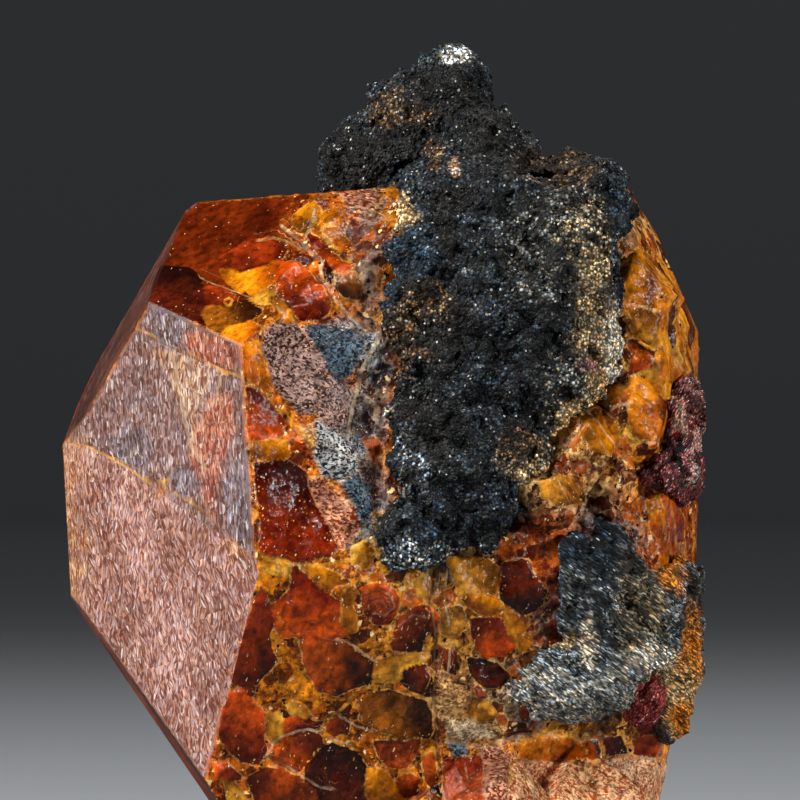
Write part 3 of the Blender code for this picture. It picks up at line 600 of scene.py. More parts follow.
def garnet_piece():
    """The garnet with its hillocked, glassy and broken zones, each vertex carrying its own tone."""
    bm = copy_of("garnet_crystal")
    bmesh.ops.dissolve_limit(bm, angle_limit=math.radians(0.4), verts=bm.verts, edges=bm.edges)
    bmesh.ops.triangulate(bm, faces=bm.faces)
    divide_edges(bm, ((3.0, 3.0), (1.5, 2.0), (0.8, 1.2), (0.42, 0.85), (0.25, 0.7)))
    piece = new_piece("garnet", bm)
    mesh = piece.data
    co = vertices_of(mesh) / MM
    n = normals_of(mesh)
    count = len(co)
    spots = across_down(co)
    across, down = spots.T
    facing = -n[:, 1]
    azimuth = np.degrees(np.arctan2(n[:, 0], -n[:, 1]))
    rise = np.degrees(np.arcsin(np.clip(n[:, 2], -1, 1)))
    steep = np.abs(rise)
    front = smooth(-0.02, 0.15, facing)

    # Smooth faces of the crystal: the rest of the front is broken
    left_face = smooth(-62, -56, azimuth) * (1 - smooth(-38, -33, azimuth)) * (1 - smooth(10, 16, steep))
    left_bevel = (1 - smooth(-62, -56, azimuth)) * (azimuth > -80) * (1 - smooth(10, 14, steep))
    slivers = (1 - smooth(-64, -58, azimuth)) * (azimuth > -100) * smooth(10, 18, steep)
    top_face = smooth(30, 38, rise) * (facing > 0.3) * (1 - smooth(60, 70, rise))
    top_flat = top_face * (1 - smooth(272, 300, across + 0.35 * (down - 230)))
    smooth_zone = np.clip(left_face + left_bevel + slivers + top_flat + (1 - front), 0, 1)
    broken = 1 - smooth_zone

    # Ground between the cells
    wander = np.stack([ground(co, 2.2, 3, 2), ground(co, 2.2, 9, 2)], axis=1) * 3.0
    wander += np.stack([ground(co, 0.7, 5, 2), ground(co, 0.7, 7, 2)], axis=1) * 2.0
    moved = spots + wander
    mottle = smooth(-0.5, 0.55, ground(co, 0.8, 15, 3))
    broad = smooth(-0.5, 0.6, ground(co * np.array((1.0, 1.0, 0.6)), 1.9, 41, 3))
    deep_tone, pale_tone, glassy, painted_glint_share = ground_looks(co, spots)

    # Tones of the smooth faces
    lower_face = smooth(-6, 6, down - np.interp(across, *zip(*LEFT_EDGE_LINE)))
    # The left face: its own colour with painted sheen
    left_tone = blend_tones(tones_at("painted_sheen_mauve", broad), tones_at("painted_sheen_rose", broad), lower_face)
    edge_gold = 1 - smooth(64, 98, across + 14 * ground(co, 1.4, 77, 3))
    edge_gold *= smooth(-0.5, 0.2, ground(co, 0.9, 79, 2)) * smooth(425, 450, down)
    left_tone = blend_tones(left_tone, tones_at("painted_sheen_gold", mottle), 0.9 * edge_gold)
    bent = 2.0 * ground(co, 2.0, 44, 2)
    layers = smooth(-0.3, 0.3, np.sin(co @ np.array((1.0, 2.2, 0.6)) * 5.5 + bent))
    sliver_tone = tones_at("sliver", layers * broad)
    sliver_tone = blend_tones(sliver_tone, tones_at("painted_sheen_mauve", mottle), 0.16 * layers * mottle)
    near, next_one, _, number = cells_of(co, 4.2, 8)
    back_tone = tones_at("ruby", smooth(-0.6, 0.8, ground(co, 5.0, 81, 4))) * (0.45 + 0.5 * number)[:, None]
    healed = (1 - smooth(0.05, 0.4, next_one - near)) * smooth(-0.3, 0.3, ground(co, 3.0, 83, 2))
    back_tone = blend_tones(back_tone, tones_at("amber", mottle), healed * 0.7)
    smooth_tone = np.zeros((count, 3))
    for share, tone in (
        (left_face, left_tone), (left_bevel, left_tone), (slivers, sliver_tone),
        (top_flat, tones_at("toffee", broad)), (1 - front, back_tone),
    ):
        smooth_tone = blend_tones(smooth_tone, tone, share)
    deep_tone = blend_tones(deep_tone, smooth_tone, smooth_zone)
    pale_tone = blend_tones(pale_tone, smooth_tone, smooth_zone)
    glassy = glassy * broken + 0.95 * top_flat + 0.2 * left_face - 0.7 * slivers + 0.6 * (1 - front)
    # Painted glints on the broken ground, the top face and the back
    painted_glint_share = painted_glint_share * broken + 0.2 * top_flat + 0.15 * (1 - front)

    # Cells and patches
    within = np.full(count, -12.0)
    cell_tone = (deep_tone + pale_tone) / 2
    rim, tilt, mottled = np.zeros((3, count))
    cell_glassy = glassy.copy()
    cell_painted_glint_share = painted_glint_share.copy()
    cell_ground = ground(co, 1.1, 21, 3)
    for index, (tone, outline, *lighter) in enumerate(SHAPES):
        points = points_of(outline)
        low, high = points.min(0) - 12.0, points.max(0) + 12.0
        near_by = np.where(((moved > low) & (moved < high)).all(1) & (facing > 0.02))[0]
        painted_sheen = tone.startswith("painted_sheen")
        near_by = near_by[((left_face + left_bevel)[near_by] > 0.5) == painted_sheen]
        here = moved[near_by]
        depth_inside = inside_outline(here, points) + 1.6
        best = depth_inside > within[near_by]
        chosen = near_by[best]
        within[chosen] = depth_inside[best]
        reach = (points.max(0) - points.min(0)).mean() / 2
        angle = cell_number(np.array([[index, 3 * index, 7 * index]]), 5)[0] * 2 * math.pi
        if lighter:
            angle = math.radians(lighter[0])
        slope = ((here[best] - points.mean(0)) @ np.array((math.cos(angle), math.sin(angle)))) / reach
        # Each cell runs from its own darker tone to a lighter side that is partly a painted glow
        light = smooth(-0.9, 0.95, slope + 0.9 * cell_ground[chosen] - 0.05)
        cell_tone[chosen] = tones_at(tone, light)
        dark, pale, cell_glassy[chosen], cell_painted_glint_share[chosen], rim[chosen] = TONES[tone]
        mottled[chosen] = 0.0
        tilt[chosen] = 0.0 if painted_sheen else 0.1 * slope
        if painted_sheen:
            cell_tone[chosen] = 0.3 * smooth_tone[chosen] + 0.7 * cell_tone[chosen]
        elif tone in MOTTLED:
            core = smooth(-1.0, 3.0, depth_inside[best])
            deep_tone[chosen] = blend_tones(deep_tone[chosen], dark, core)
            pale_tone[chosen] = blend_tones(pale_tone[chosen], pale, core)
            mottled[chosen] = 1.0
    inside = smooth(-1.0, 1.0, within)
    glassy = glassy + (cell_glassy - glassy) * inside
    painted_glint_share = painted_glint_share + (cell_painted_glint_share - painted_glint_share) * inside

    # Lines
    depth, line_share = np.zeros((2, count))
    line_away = np.full(count, 9.0)
    line_tone = (deep_tone + pale_tone) / 2
    broken_up = smooth(-0.75, -0.2, ground(co, 0.7, 95, 2))
    line_light = smooth(-0.6, 0.4, ground(co, 0.5, 97))
    for line, half_width, tone, strength, deep in LINES:
        signed, beyond = beside_line(spots + wander * 0.5, points_of(line))
        away = np.abs(signed)
        width = half_width + 0.5
        near_by = (away < max(7.0, width + 5.0)) & (beyond < 5.0) & (facing > 0.02)
        chosen = near_by & (away / width < np.abs(line_away))
        line_away[chosen] = signed[chosen] / width
        unbroken = broken_up if strength < 1.0 else 1.0
        line_share[chosen] = (strength * unbroken * (1 - smooth(-3.0, 3.0, beyond)))[chosen]
        line_tone[chosen] = tones_at(tone, line_light)[chosen]
        depth += deep * (1 - smooth(0.5, width + 4.0, away)) * near_by * (1 - smooth(0.0, 5.0, beyond))

    # Painted shade: the face that looks up takes most of the light, so its broken glass is painted darker in tone
    painted_top_shade = (1.0 - 0.42 * top_face * broken)[:, None]

    # Relief: cells as shallow domes, chips and grit on the broken ground, faint steps on the smooth faces
    dome = np.clip(within, 0.0, 6.0) / 6.0 * CELL_DOME + tilt * smooth(0.0, 3.0, within)
    chip_near, _, _, chip_number = cells_of(co, CHIP_SIZE, 14)
    open_ground = 1 - smooth(-1.0, 1.0, within)
    chips = (0.16 * (chip_number - 0.5) - 0.1 * chip_near / CHIP_SIZE) * (0.25 + 0.75 * open_ground)
    relief = broken * (dome + chips + 0.1 * ground(co, 0.9, 51, 3) * (0.4 + 0.6 * open_ground))
    under_crest = smooth(470, 490, across) * (1 - smooth(618, 630, across)) * (1 - smooth(205, 225, down))
    relief -= CREST_HOLLOW * under_crest * smooth(0.3, 0.6, n[:, 2])
    relief += (1 - broken) * 0.015 * ground(co, 1.2, 53, 2)
    relief -= depth
    above_foot = smooth(0.15, 0.5, co[:, 2])
    raised = co + n * (relief * above_foot)[:, None]
    raised[:, 2] = np.maximum(raised[:, 2], 0.0)
    set_vertices(mesh, keep_in_box(raised * MM))

    wall = smooth(655, 664, across + wander[:, 0]) * smooth(196, 215, down) * (1 - smooth(425, 450, down))
    tones = {"cell_tone": cell_tone, "deep_tone": deep_tone, "pale_tone": pale_tone, "line_tone": line_tone}
    for name, values in tones.items():
        add_colour(mesh, name, np.clip(values * painted_top_shade, 0.0, 1.0))
    numbers = {
        "line_away": line_away, "line_share": line_share, "lay": lower_face, "within": within, "mottled": mottled,
        # The mask of the left faces marks where their painted sheen lies
        "wall": wall * (facing > -0.3) * (n[:, 0] > 0.2) * 0.9, "painted_sheen": np.clip(left_face + left_bevel, 0, 1),
        "broken": broken, "glassy": np.clip(glassy, -1, 1), "painted_glint_share": painted_glint_share, "rim": rim * broken,
    }
    for name, values in numbers.items():
        add_number(mesh, name, values)
    mesh.shade_smooth()
    mesh.set_sharp_from_angle(angle=math.radians(28))
    return piece


# Shader helpers

class Nodes:
    """Adds nodes to a material's or a group's tree and joins them."""

    def __init__(self, tree):
        self.tree = tree

    def add(self, kind, inputs=None, **settings):
        node = self.tree.nodes.new(kind)
        for key, value in settings.items():
            setattr(node, key, value)
        for key, value in (inputs or {}).items():
            self.put(node.inputs[key], value)
        return node

    def put(self, socket, value):
        """Joins another socket to this one, or sets its own value; a colour may be given without its last part."""
        if isinstance(value, bpy.types.NodeSocket):
            self.tree.links.new(value, socket)
        elif socket.type == "RGBA":
            socket.default_value = (*value[:3], 1.0)
        else:
            socket.default_value = value

    def math(self, operation, a, b=0.0, clamp=False):
        return self.add("ShaderNodeMath", {0: a, 1: b}, operation=operation, use_clamp=clamp).outputs[0]

    def times(self, product, *factors):
        for factor in factors:
            product = self.math("MULTIPLY", product, factor)
        return product

    def plus(self, total, *terms):
        for term in terms:
            total = self.math("ADD", total, term)
        return total

    def minus(self, a, b, clamp=False):
        return self.math("SUBTRACT", a, b, clamp)

    def over(self, a, b):
        """1 where a is greater than b, and 0 elsewhere."""
        return self.math("GREATER_THAN", a, b)

    def size(self, a):
        return self.math("ABSOLUTE", a)

    def vector(self, operation, a, b=None):
        operands = {0: a} if b is None else {0: a, 1: b}
        return self.add("ShaderNodeVectorMath", operands, operation=operation).outputs[0]

    def tilt(self, normal, colour, share):
        """Leans a normal another way in each cell, by the cell's own random colour."""
        away = self.vector("SUBTRACT", colour, (0.5, 0.5, 0.5))
        lean = self.add("ShaderNodeVectorMath", {0: away, "Scale": share}, operation="SCALE").outputs[0]
        return self.vector("ADD", normal, lean)

    def mix(self, share, a, b, blend="MIX"):
        node = self.add("ShaderNodeMix", data_type="RGBA", blend_type=blend)
        for index, value in ((0, share), (6, a), (7, b)):
            self.put(node.inputs[index], value)
        return node.outputs[2]

    def tinted(self, a, b):
        return self.mix(1.0, a, b, "MULTIPLY")

    def band(self, value, low, high, to_low=0.0, to_high=1.0):
        """Runs smoothly from to_low to to_high while the value runs from low to high."""
        node = self.add("ShaderNodeMapRange", interpolation_type="SMOOTHSTEP")
        for index, number in enumerate((value, low, high, to_low, to_high)):
            self.put(node.inputs[index], number)
        return node.outputs[0]

    def between(self, share, at_none, at_all):
        return self.band(share, 0.0, 1.0, at_none, at_all)

    def split(self, colour):
        return self.add("ShaderNodeSeparateColor", {0: colour}).outputs

    def grey(self, value):
        return self.add("ShaderNodeCombineColor", {0: value, 1: value, 2: value}).outputs[0]

    def noise(self, place, scale, detail=2.0, rough=0.5):
        """Rolling noise as a value and as a colour."""
        inputs = {"Vector": place, "Scale": scale, "Detail": detail, "Roughness": rough}
        found = self.add("ShaderNodeTexNoise", inputs).outputs
        return found[0], found["Color"]

    def cells(self, place, scale, randomness=1.0):
        """Scattered cells: distance from the middle, a random colour for each cell, and that colour's parts."""
        inputs = {"Vector": place, "Scale": scale, "Randomness": randomness}
        found = self.add("ShaderNodeTexVoronoi", inputs).outputs
        return found["Distance"], found["Color"], self.split(found["Color"])

    def place(self):
        return self.add("ShaderNodeTexCoord").outputs["Object"]

    def number(self, name):
        return self.add("ShaderNodeAttribute", attribute_name=name).outputs["Fac"]

    def tone(self, name):
        return self.add("ShaderNodeAttribute", attribute_name=name).outputs["Color"]


def new_material(name):
    material = bpy.data.materials.new(name)
    material.use_nodes = True
    shader = material.node_tree.nodes["Principled BSDF"]
    return material, Nodes(material.node_tree), shader


def grain_group():
    """Grains of a rock: a different shade and tilt for each grain, with dark gaps and a few grains in painted
    glints.
    """
    tree = bpy.data.node_groups.new("rock_grain", "ShaderNodeTree")
    inputs = {
        "Tone": (0.05, 0.06, 0.07, 1.0), "Glint": (0.7, 0.66, 0.6, 1.0), "Grain Scale": 3000.0, "Glint Share": 0.1,
        "Contrast": 4.0, "Even": 0.0, "Dimmest": 0.05, "Brightest": 4.0, "Place": (0.0, 0.0, 0.0),
    }
    for label, default in inputs.items():
        kind = {"Tone": "Color", "Glint": "Color", "Place": "Vector"}.get(label, "Float")
        socket = tree.interface.new_socket(label, in_out="INPUT", socket_type="NodeSocket" + kind)
        socket.default_value = default
    for label, kind in (("Color", "Color"), ("Height", "Float"), ("Roughness", "Float")):
        tree.interface.new_socket(label, in_out="OUTPUT", socket_type="NodeSocket" + kind)
    n = Nodes(tree)
    given = n.add("NodeGroupInput").outputs
    out = n.add("NodeGroupOutput").inputs
    place = given["Place"]
    distance, _, pick = n.cells(place, given["Grain Scale"])

    broad = n.plus(n.times(n.noise(place, 900.0, 3.0, 0.6)[0], 0.65), n.times(n.noise(place, 320.0)[0], 0.35))
    own_shade = n.math("POWER", pick[0], given["Contrast"])
    shade = n.times(own_shade, n.band(broad, 0.4, 0.62, given["Dimmest"], given["Brightest"]))
    levelled = n.times(given["Even"], n.minus(n.between(pick[0], 0.2, 1.5), shade))
    shade = n.plus(n.times(n.plus(shade, levelled), n.band(distance, 0.7, 0.25, 0.2, 1.0)), 0.02)
    tint = n.mix(n.band(pick[1], 0.35, 0.65), BLUISH_GRAIN, BROWNISH_GRAIN)
    rock = n.tinted(n.tinted(given["Tone"], n.grey(shade)), tint)
    # Painted glints: a few grains, gathered in clumps, take the glint colour
    clumped = n.times(given["Glint Share"], n.band(broad, 0.42, 0.64, 0.2, 4.0))
    bright = n.over(pick[2], n.minus(1.0, clumped))

    n.put(out["Color"], n.mix(n.times(bright, n.band(distance, 0.6, 0.3)), rock, given["Glint"]))
    n.put(out["Height"], n.plus(n.times(pick[2], 0.6), n.times(distance, -1.0)))
    n.put(out["Roughness"], n.between(pick[2], 0.42, 0.85))
    return tree


def flecks_of(n, place, painted_sheen, mottled):
    """Short flecks lying in patches: hillocks of growth on the left face, which carry its painted sheen, and
    painted glints and inclusions elsewhere.
    """
    _, _, patch = n.cells(place, 1300.0)
    swing = n.times(n.minus(patch[0], 0.5), n.band(n.number("lay"), 0.42, 0.58, 0.35, 1.1))
    swing = n.plus(swing, n.between(painted_sheen, 0.6, -0.12), mottled)
    lean = n.add("ShaderNodeVectorRotate", {"Vector": place, "Axis": LEFT_FACE_WAY, "Angle": swing}).outputs[0]
    drawn_out = n.add("ShaderNodeMapping", {"Vector": lean, "Scale": (1.0, 1.0, 0.22)}).outputs[0]
    distance, colour, pick = n.cells(drawn_out, 8600.0)
    roundness = n.times(n.minus(0.5, distance), 0.5)
    strokes = n.times(n.noise(drawn_out, 5200.0, 3.0, 0.7)[0], 2.2)
    raised = n.band(n.plus(n.times(pick[0], 0.5), roundness, strokes), 1.05, 1.8)
    return drawn_out, raised, distance, colour, pick


def scale_tones(n, place):
    """The slanted scales of the right wall: dark, amber or golden, with pale seams between them."""
    inputs = {"Vector": place, "Rotation": (math.radians(40), 0.0, 0.0), "Scale": (0.3, 1.0, 0.72)}
    distance, _, pick = n.cells(n.add("ShaderNodeMapping", inputs).outputs[0], 640.0, 0.4)
    tone = n.mix(n.band(pick[0], 0.3, 0.5), (0.06, 0.009, 0.001), (0.56, 0.15, 0.002))
    tone = n.mix(n.band(pick[1], 0.75, 0.8), tone, (0.72, 0.27, 0.012))
    return n.mix(n.band(distance, 0.68, 0.72), tone, (0.64, 0.3, 0.05))


def garnet_material():
    material, n, shader = new_material("garnet_crystal_finish")
    place = n.place()
    tones = ("cell_tone", "deep_tone", "pale_tone", "line_tone")
    cell_tone, deep_tone, pale_tone, line_tone = map(n.tone, tones)
    names = ("within", "painted_sheen", "broken", "glassy", "painted_glint_share", "rim", "mottled", "wall", "line_away", "line_share")
    within, painted_sheen, broken, glassy, painted_glint_share, rim, mottled, wall, line_away, line_share = map(n.number, names)
    cloudy, cloud_colour = n.noise(place, 2100.0, 3.0, 0.65)
    cloud = n.split(cloud_colour)
    drawn_out, fleck, fleck_distance, fleck_colour, fleck_pick = flecks_of(n, place, painted_sheen, mottled)

    # Broken pieces of the ground, each with its own depth of tone and its own tilt
    shift = {0: cloud_colour, 1: (0.0008, 0.0008, 0.0008), 2: place}
    moved = n.add("ShaderNodeVectorMath", shift, operation="MULTIPLY_ADD").outputs[0]
    _, stone_colour, stone = n.cells(moved, STONE_SCALE)
    edges = {"Vector": moved, "Scale": STONE_SCALE}
    gap = n.add("ShaderNodeTexVoronoi", edges, feature="DISTANCE_TO_EDGE").outputs["Distance"]
    chip_distance, chip_colour, chip = n.cells(moved, 2700.0)
    ragged = n.plus(within, n.times(n.minus(cloud[1], 0.5), n.between(painted_sheen, 3.4, 16.0)))
    in_cell = n.band(n.times(ragged, n.between(painted_sheen, 1.0, 0.12)), -0.5, 0.5)
    stony = n.times(broken, n.between(in_cell, 1.0, 0.42))
    unmixed = n.minus(1.0, mottled)
    open_ground = n.times(n.minus(broken, in_cell, clamp=True), unmixed)
    depth = cloudiness = n.times(n.minus(cloudy, 0.5), n.between(mottled, 0.6, 0.55))
    for pick, in_ground, in_patch in ((stone, 0.56, 0.1), (chip, 0.5, 0.1), (fleck_pick, 0.2, 0.9)):
        depth = n.plus(depth, n.times(n.minus(pick[0], 0.5), n.between(mottled, in_ground, in_patch)))
    colour = n.mix(n.times(in_cell, unmixed), n.mix(n.band(depth, -0.24, 0.24), deep_tone, pale_tone), cell_tone)

    # Small garnets, darker and brighter stones, and healed cracks between them
    small = n.times(n.over(stone[2], 0.68), n.band(gap, 0.03, 0.06), 0.9)
    small_tone = n.mix(n.band(n.plus(cloudiness, stone[0]), 0.1, 0.9), (0.05, 0.007, 0.001), (0.4, 0.075, 0.004))
    colour = n.mix(n.times(open_ground, small), colour, small_tone)
    for low, high, tint in ((0.45, 0.05, (0.42, 0.26, 0.2)), (0.6, 0.95, (1.45, 1.35, 1.1))):
        colour = n.mix(n.times(n.band(stone[1], low, high), stony), colour, n.tinted(colour, tint))
    healed = n.times(n.band(gap, 0.06, 0.015), stony, n.band(cloud[2], 0.42, 0.6), n.between(in_cell, 0.85, 0.12))
    colour = n.mix(healed, colour, pale_tone)
    colour = n.mix(wall, colour, scale_tones(n, place))

    # Thin pale rims of the cells, the flecked left faces with their painted sheen, and the drawn lines
    off_wall = n.minus(1.0, wall)
    on_rim = n.times(n.band(n.size(ragged), 1.3, 0.3), rim, n.band(cloud[2], 0.4, 0.56), off_wall, 0.7)
    colour = n.mix(on_rim, colour, (0.68, 0.36, 0.09))
    # Painted sheen: raised flecks of the left faces take a lavender or golden sheen, the rest a darker rust-brown,
    # and a few take painted glints
    tint = n.mix(n.band(fleck_pick[1], 0.5, 0.7), (1.08, 1.18, 1.36), (1.26, 1.08, 0.86))
    hillocks = n.mix(fleck, n.tinted(colour, (0.3, 0.13, 0.085)), n.tinted(colour, tint))
    glinting = n.band(fleck_pick[2], 0.9, 0.94, 0.0, 0.3)
    colour = n.mix(painted_sheen, colour, n.mix(glinting, hillocks, (0.86, 0.8, 0.78)))
    beside = n.plus(line_away, n.times(n.minus(cloud[0], 0.5), 1.4))
    colour = n.mix(n.times(n.band(n.size(beside), 1.15, 0.6), line_share, off_wall), colour, line_tone)

    # Fine shading inside the glass
    streaks, _ = n.noise(drawn_out, 1500.0, 2.0, 0.6)
    shade = n.minus(n.band(n.plus(cloudy, streaks), 0.66, 1.34, 0.45, 1.65), 1.0)
    colour = n.tinted(colour, n.grey(n.plus(n.times(shade, n.between(painted_sheen, 1.0, 0.3)), 1.0)))

    # Painted glints: small pale and golden dots, thickest near the rims, then painted shade in small pits and
    # painted golden glints in the open ground
    near_rim = n.times(n.band(n.size(ragged), 5.0, 1.0), broken, 1.6)
    clumped = n.times(n.plus(painted_glint_share, near_rim), n.band(cloud[2], 0.44, 0.64, 0.008, 0.2))
    kept = n.over(fleck_pick[1], n.minus(1.0, clumped))
    dash = n.times(n.band(fleck_distance, 0.5, 0.3), kept, n.between(fleck_pick[2], 0.15, 0.85))
    colour = n.mix(dash, colour, n.mix(n.band(fleck_pick[0], 0.3, 0.6), (0.9, 0.48, 0.1), (0.9, 0.7, 0.46)))
    sharp = n.times(open_ground, n.band(chip_distance, 0.5, 0.4))
    colour = n.mix(n.times(sharp, n.math("LESS_THAN", chip[2], 0.09)), colour, (0.03, 0.008, 0.002))
    colour = n.mix(n.times(sharp, n.over(chip[2], 0.955)), colour, (0.92, 0.62, 0.26))

    tilted = n.add("ShaderNodeNewGeometry").outputs["Normal"]
    for lean, share in (
        (stone_colour, n.times(stony, 0.45)),
        (chip_colour, n.times(stony, 0.5)),
        (fleck_colour, n.between(painted_sheen, 0.1, 0.4)),
    ):
        tilted = n.tilt(tilted, lean, share)
    uneven = n.times(cloudy, n.plus(n.times(broken, 0.00009), 0.00001))
    bump = n.add("ShaderNodeBump", {"Height": uneven, "Distance": 1.0, "Normal": n.vector("NORMALIZE", tilted)})

    n.put(shader.inputs["Base Color"], colour)
    n.put(shader.inputs["Roughness"], n.minus(0.55, n.times(glassy, 0.45), clamp=True))
    n.put(shader.inputs["Normal"], bump.outputs[0])
    shader.inputs["IOR"].default_value = 1.65
    shader.inputs["Specular IOR Level"].default_value = 0.05
    shader.inputs["Transmission Weight"].default_value = 0.18
    inside = n.add("ShaderNodeVolumeAbsorption")
    inside.inputs["Color"].default_value = (0.93, 0.4, 0.05, 1.0)
    inside.inputs["Density"].default_value = 600.0
    n.put(material.node_tree.nodes["Material Output"].inputs["Volume"], inside.outputs[0])
    return material


def rock_material(name, grain, values, lie=(1.0, 1.0, 1.0), turn=0.0):
    """A granular rock; its grains are as long as lie says along axes turned by this angle on the front."""
    material, n, shader = new_material(name)
    stretch = {"Vector": n.place(), "Scale": lie, "Rotation": (0.0, turn, 0.0)}
    place = n.add("ShaderNodeMapping", stretch, vector_type="TEXTURE").outputs[0]
    group = n.add("ShaderNodeGroup", node_tree=grain)
    for label, value in {"Tone": n.tone("tone"), "Even": n.number("even"), "Place": place, **values}.items():
        n.put(group.inputs[label], value)
    bump = n.add("ShaderNodeBump", {"Height": group.outputs["Height"], "Distance": 0.00012, "Strength": 1.0})
    n.put(shader.inputs["Base Color"], group.outputs["Color"])
    n.put(shader.inputs["Roughness"], group.outputs["Roughness"])
    n.put(shader.inputs["Normal"], bump.outputs[0])
    shader.inputs["Specular IOR Level"].default_value = 0.22
    return material


# Rocks

def rock_piece(name, node, voxel, tones, seed):
    """A rough piece of rock from a node's form, with its broken surface and patches of tone."""
    piece = new_piece(name, copy_of(node))
    fuse = piece.modifiers.new("fuse", "REMESH")
    fuse.mode = "VOXEL"
    fuse.voxel_size = voxel * MM
    mesh = bake_modifiers(piece)
    co = vertices_of(mesh) / MM
    n = normals_of(mesh)
    _, _, way, number = cells_of(co, 1.25, seed)
    turn = number * 40.0
    lean = np.stack([np.cos(turn), np.sin(turn), np.cos(turn * 1.7)], axis=1)
    relief = 0.24 * (number - 0.5) + 0.34 * (way * lean).sum(1) / 1.25 + 0.3 * ground(co, 2.4, seed + 3, 4)
    fine_near, _, _, fine_number = cells_of(co, 0.5, seed + 7)
    relief += 0.14 * (fine_number - 0.5) - 0.1 * fine_near + 0.14
    co = co + n * relief[:, None]
    if name == "matrix_upper":
        across, down = across_down(co).T
        beside_dome = smooth(600, 636, across) * smooth(225, 245, down) * (1 - smooth(310, 345, down))
        co[:, 0] -= DOME_CLEARANCE * beside_dome
    set_vertices(mesh, keep_in_box(co * MM))
    colour, even = rock_tones(co, tones, seed)
    add_colour(mesh, "tone", colour)
    add_number(mesh, "even", even)
    mesh.shade_flat()
    return piece


def rock_tones(co, tones, seed):
    """A rock's plain tone under patches of tone at places on the front, and how alike the grains are in each."""
    plain, patches = tones
    wander = np.stack([ground(co, 1.6, seed + 1, 3), ground(co, 1.6, seed + 2, 3)], axis=1) * 14.0
    spots = across_down(co) + wander
    colour = np.tile(np.array(plain), (len(co), 1))
    even = np.zeros(len(co))
    for across, down, half_width, half_height, tone, *alike in patches:
        away = np.hypot((spots[:, 0] - across) / half_width, (spots[:, 1] - down) / half_height)
        share = (1 - smooth(0.6, 1.2, away)) * (co[:, 1] < 6.0)
        colour = blend_tones(colour, np.array(tone), share)
        even += (sum(alike) - even) * share
    return colour, even


BLACK = linear(34, 33, 33)
COAL = linear(54, 66, 76)
IRON = linear(104, 104, 100)
STEEL = linear(104, 116, 126)
DEEP_BLUE = linear(52, 72, 90)
UMBER = linear(110, 84, 54)
SAND = linear(176, 160, 132)
PALE_STEEL = 1.8 * linear(112, 122, 130)
FIBROUS = 1.35 * linear(164, 164, 160)
TAN = 1.4 * linear(186, 162, 126)
STRAW = 1.55 * linear(208, 174, 124)
MILKY = 1.5 * linear(232, 222, 204)
AMBER = 1.5 * linear(214, 130, 24)
PINK = 1.5 * linear(210, 136, 130)
# A painted highlight, brighter than white
PAINTED_HIGHLIGHT = 2.2 * linear(250, 250, 252)

# Plain tone of each rock, then its patches: across, down, half-width, half-height, tone and how alike its
# grains are
UPPER_TONES = (COAL, (
    (400, 108, 30, 34, UMBER), (370, 160, 44, 30, COAL), (400, 130, 30, 30, BLACK), (500, 130, 44, 50, BLACK),
    # The white patch at the top of the crest is a painted highlight
    (440, 90, 40, 40, BLACK), (350, 160, 40, 40, BLACK), (455, 48, 17, 11, PAINTED_HIGHLIGHT), (404, 112, 34, 12, UMBER),
    # The black patches at the foot of the crest's peak are painted shade in the valley there
    (436, 150, 10, 20, UMBER), (458, 168, 7, 10, linear(230, 190, 160), 0.9), (450, 200, 30, 18, BLACK),
    (436, 240, 18, 50, BLACK), (412, 252, 28, 44, DEEP_BLUE, 0.3), (398, 290, 20, 30, DEEP_BLUE, 0.3),
    (616, 250, 14, 80, DEEP_BLUE, 0.2), (440, 330, 44, 50, BLACK), (400, 340, 24, 40, UMBER),
    (430, 300, 30, 20, UMBER), (560, 250, 60, 70, IRON), (590, 240, 24, 50, SAND),
    (592, 276, 20, 36, TAN, 0.3), (594, 334, 26, 42, TAN, 0.5), (602, 384, 34, 34, STRAW, 0.85),
    (616, 350, 14, 50, MILKY, 0.7), (588, 362, 12, 9, PINK, 0.6), (560, 390, 40, 50, IRON),
    (500, 380, 44, 60, COAL), (420, 430, 40, 60, BLACK), (410, 470, 20, 40, PALE_STEEL),
    (440, 520, 40, 30, COAL), (418, 550, 34, 24, PALE_STEEL), (520, 450, 30, 26, UMBER),
    # The thin black patch along the left edge is painted shade in the crevice there
    (380, 400, 8, 50, MILKY, 0.3), (384, 500, 10, 34, BLACK), (560, 165, 50, 20, UMBER),
    (430, 520, 24, 24, DEEP_BLUE), (576, 430, 26, 28, STRAW, 0.7), (540, 474, 30, 16, TAN, 0.4),
    (398, 212, 18, 22, STRAW, 0.5),
))
LOWER_TONES = (PALE_STEEL, (
    # The black patch at the top is painted shade in the recess there
    (552, 524, 34, 26, BLACK), (590, 550, 36, 40, DEEP_BLUE), (575, 600, 30, 34, STEEL),
    (640, 600, 30, 60, SAND, 0.25), (592, 640, 8, 30, MILKY, 0.5), (556, 700, 72, 34, FIBROUS, 0.55),
    (610, 690, 40, 26, FIBROUS, 0.4), (560, 640, 30, 10, TAN, 0.4), (660, 540, 16, 20, AMBER, 0.7),
    (676, 566, 14, 30, AMBER, 0.7), (700, 600, 14, 40, IRON), (694, 660, 16, 60, AMBER, 0.7),
    (676, 700, 30, 44, STRAW, 0.6), (690, 726, 24, 26, AMBER, 0.7), (640, 560, 16, 16, IRON),
    (650, 660, 24, 14, MILKY, 0.3),
))
BACK_TONES = (COAL, ())
ROSE_TONES = (linear(170, 84, 84), (
    (690, 430, 60, 70, linear(160, 66, 66), 0.5), (676, 420, 10, 30, linear(226, 176, 160), 0.8),
    (700, 440, 6, 40, linear(216, 168, 156), 0.8), (690, 470, 14, 20, linear(170, 150, 140)),
    (700, 400, 14, 26, linear(150, 90, 84)), (668, 460, 30, 20, linear(216, 120, 130)),
    (676, 455, 5, 26, linear(40, 20, 20)), (673, 432, 5, 6, linear(240, 20, 30)),
))
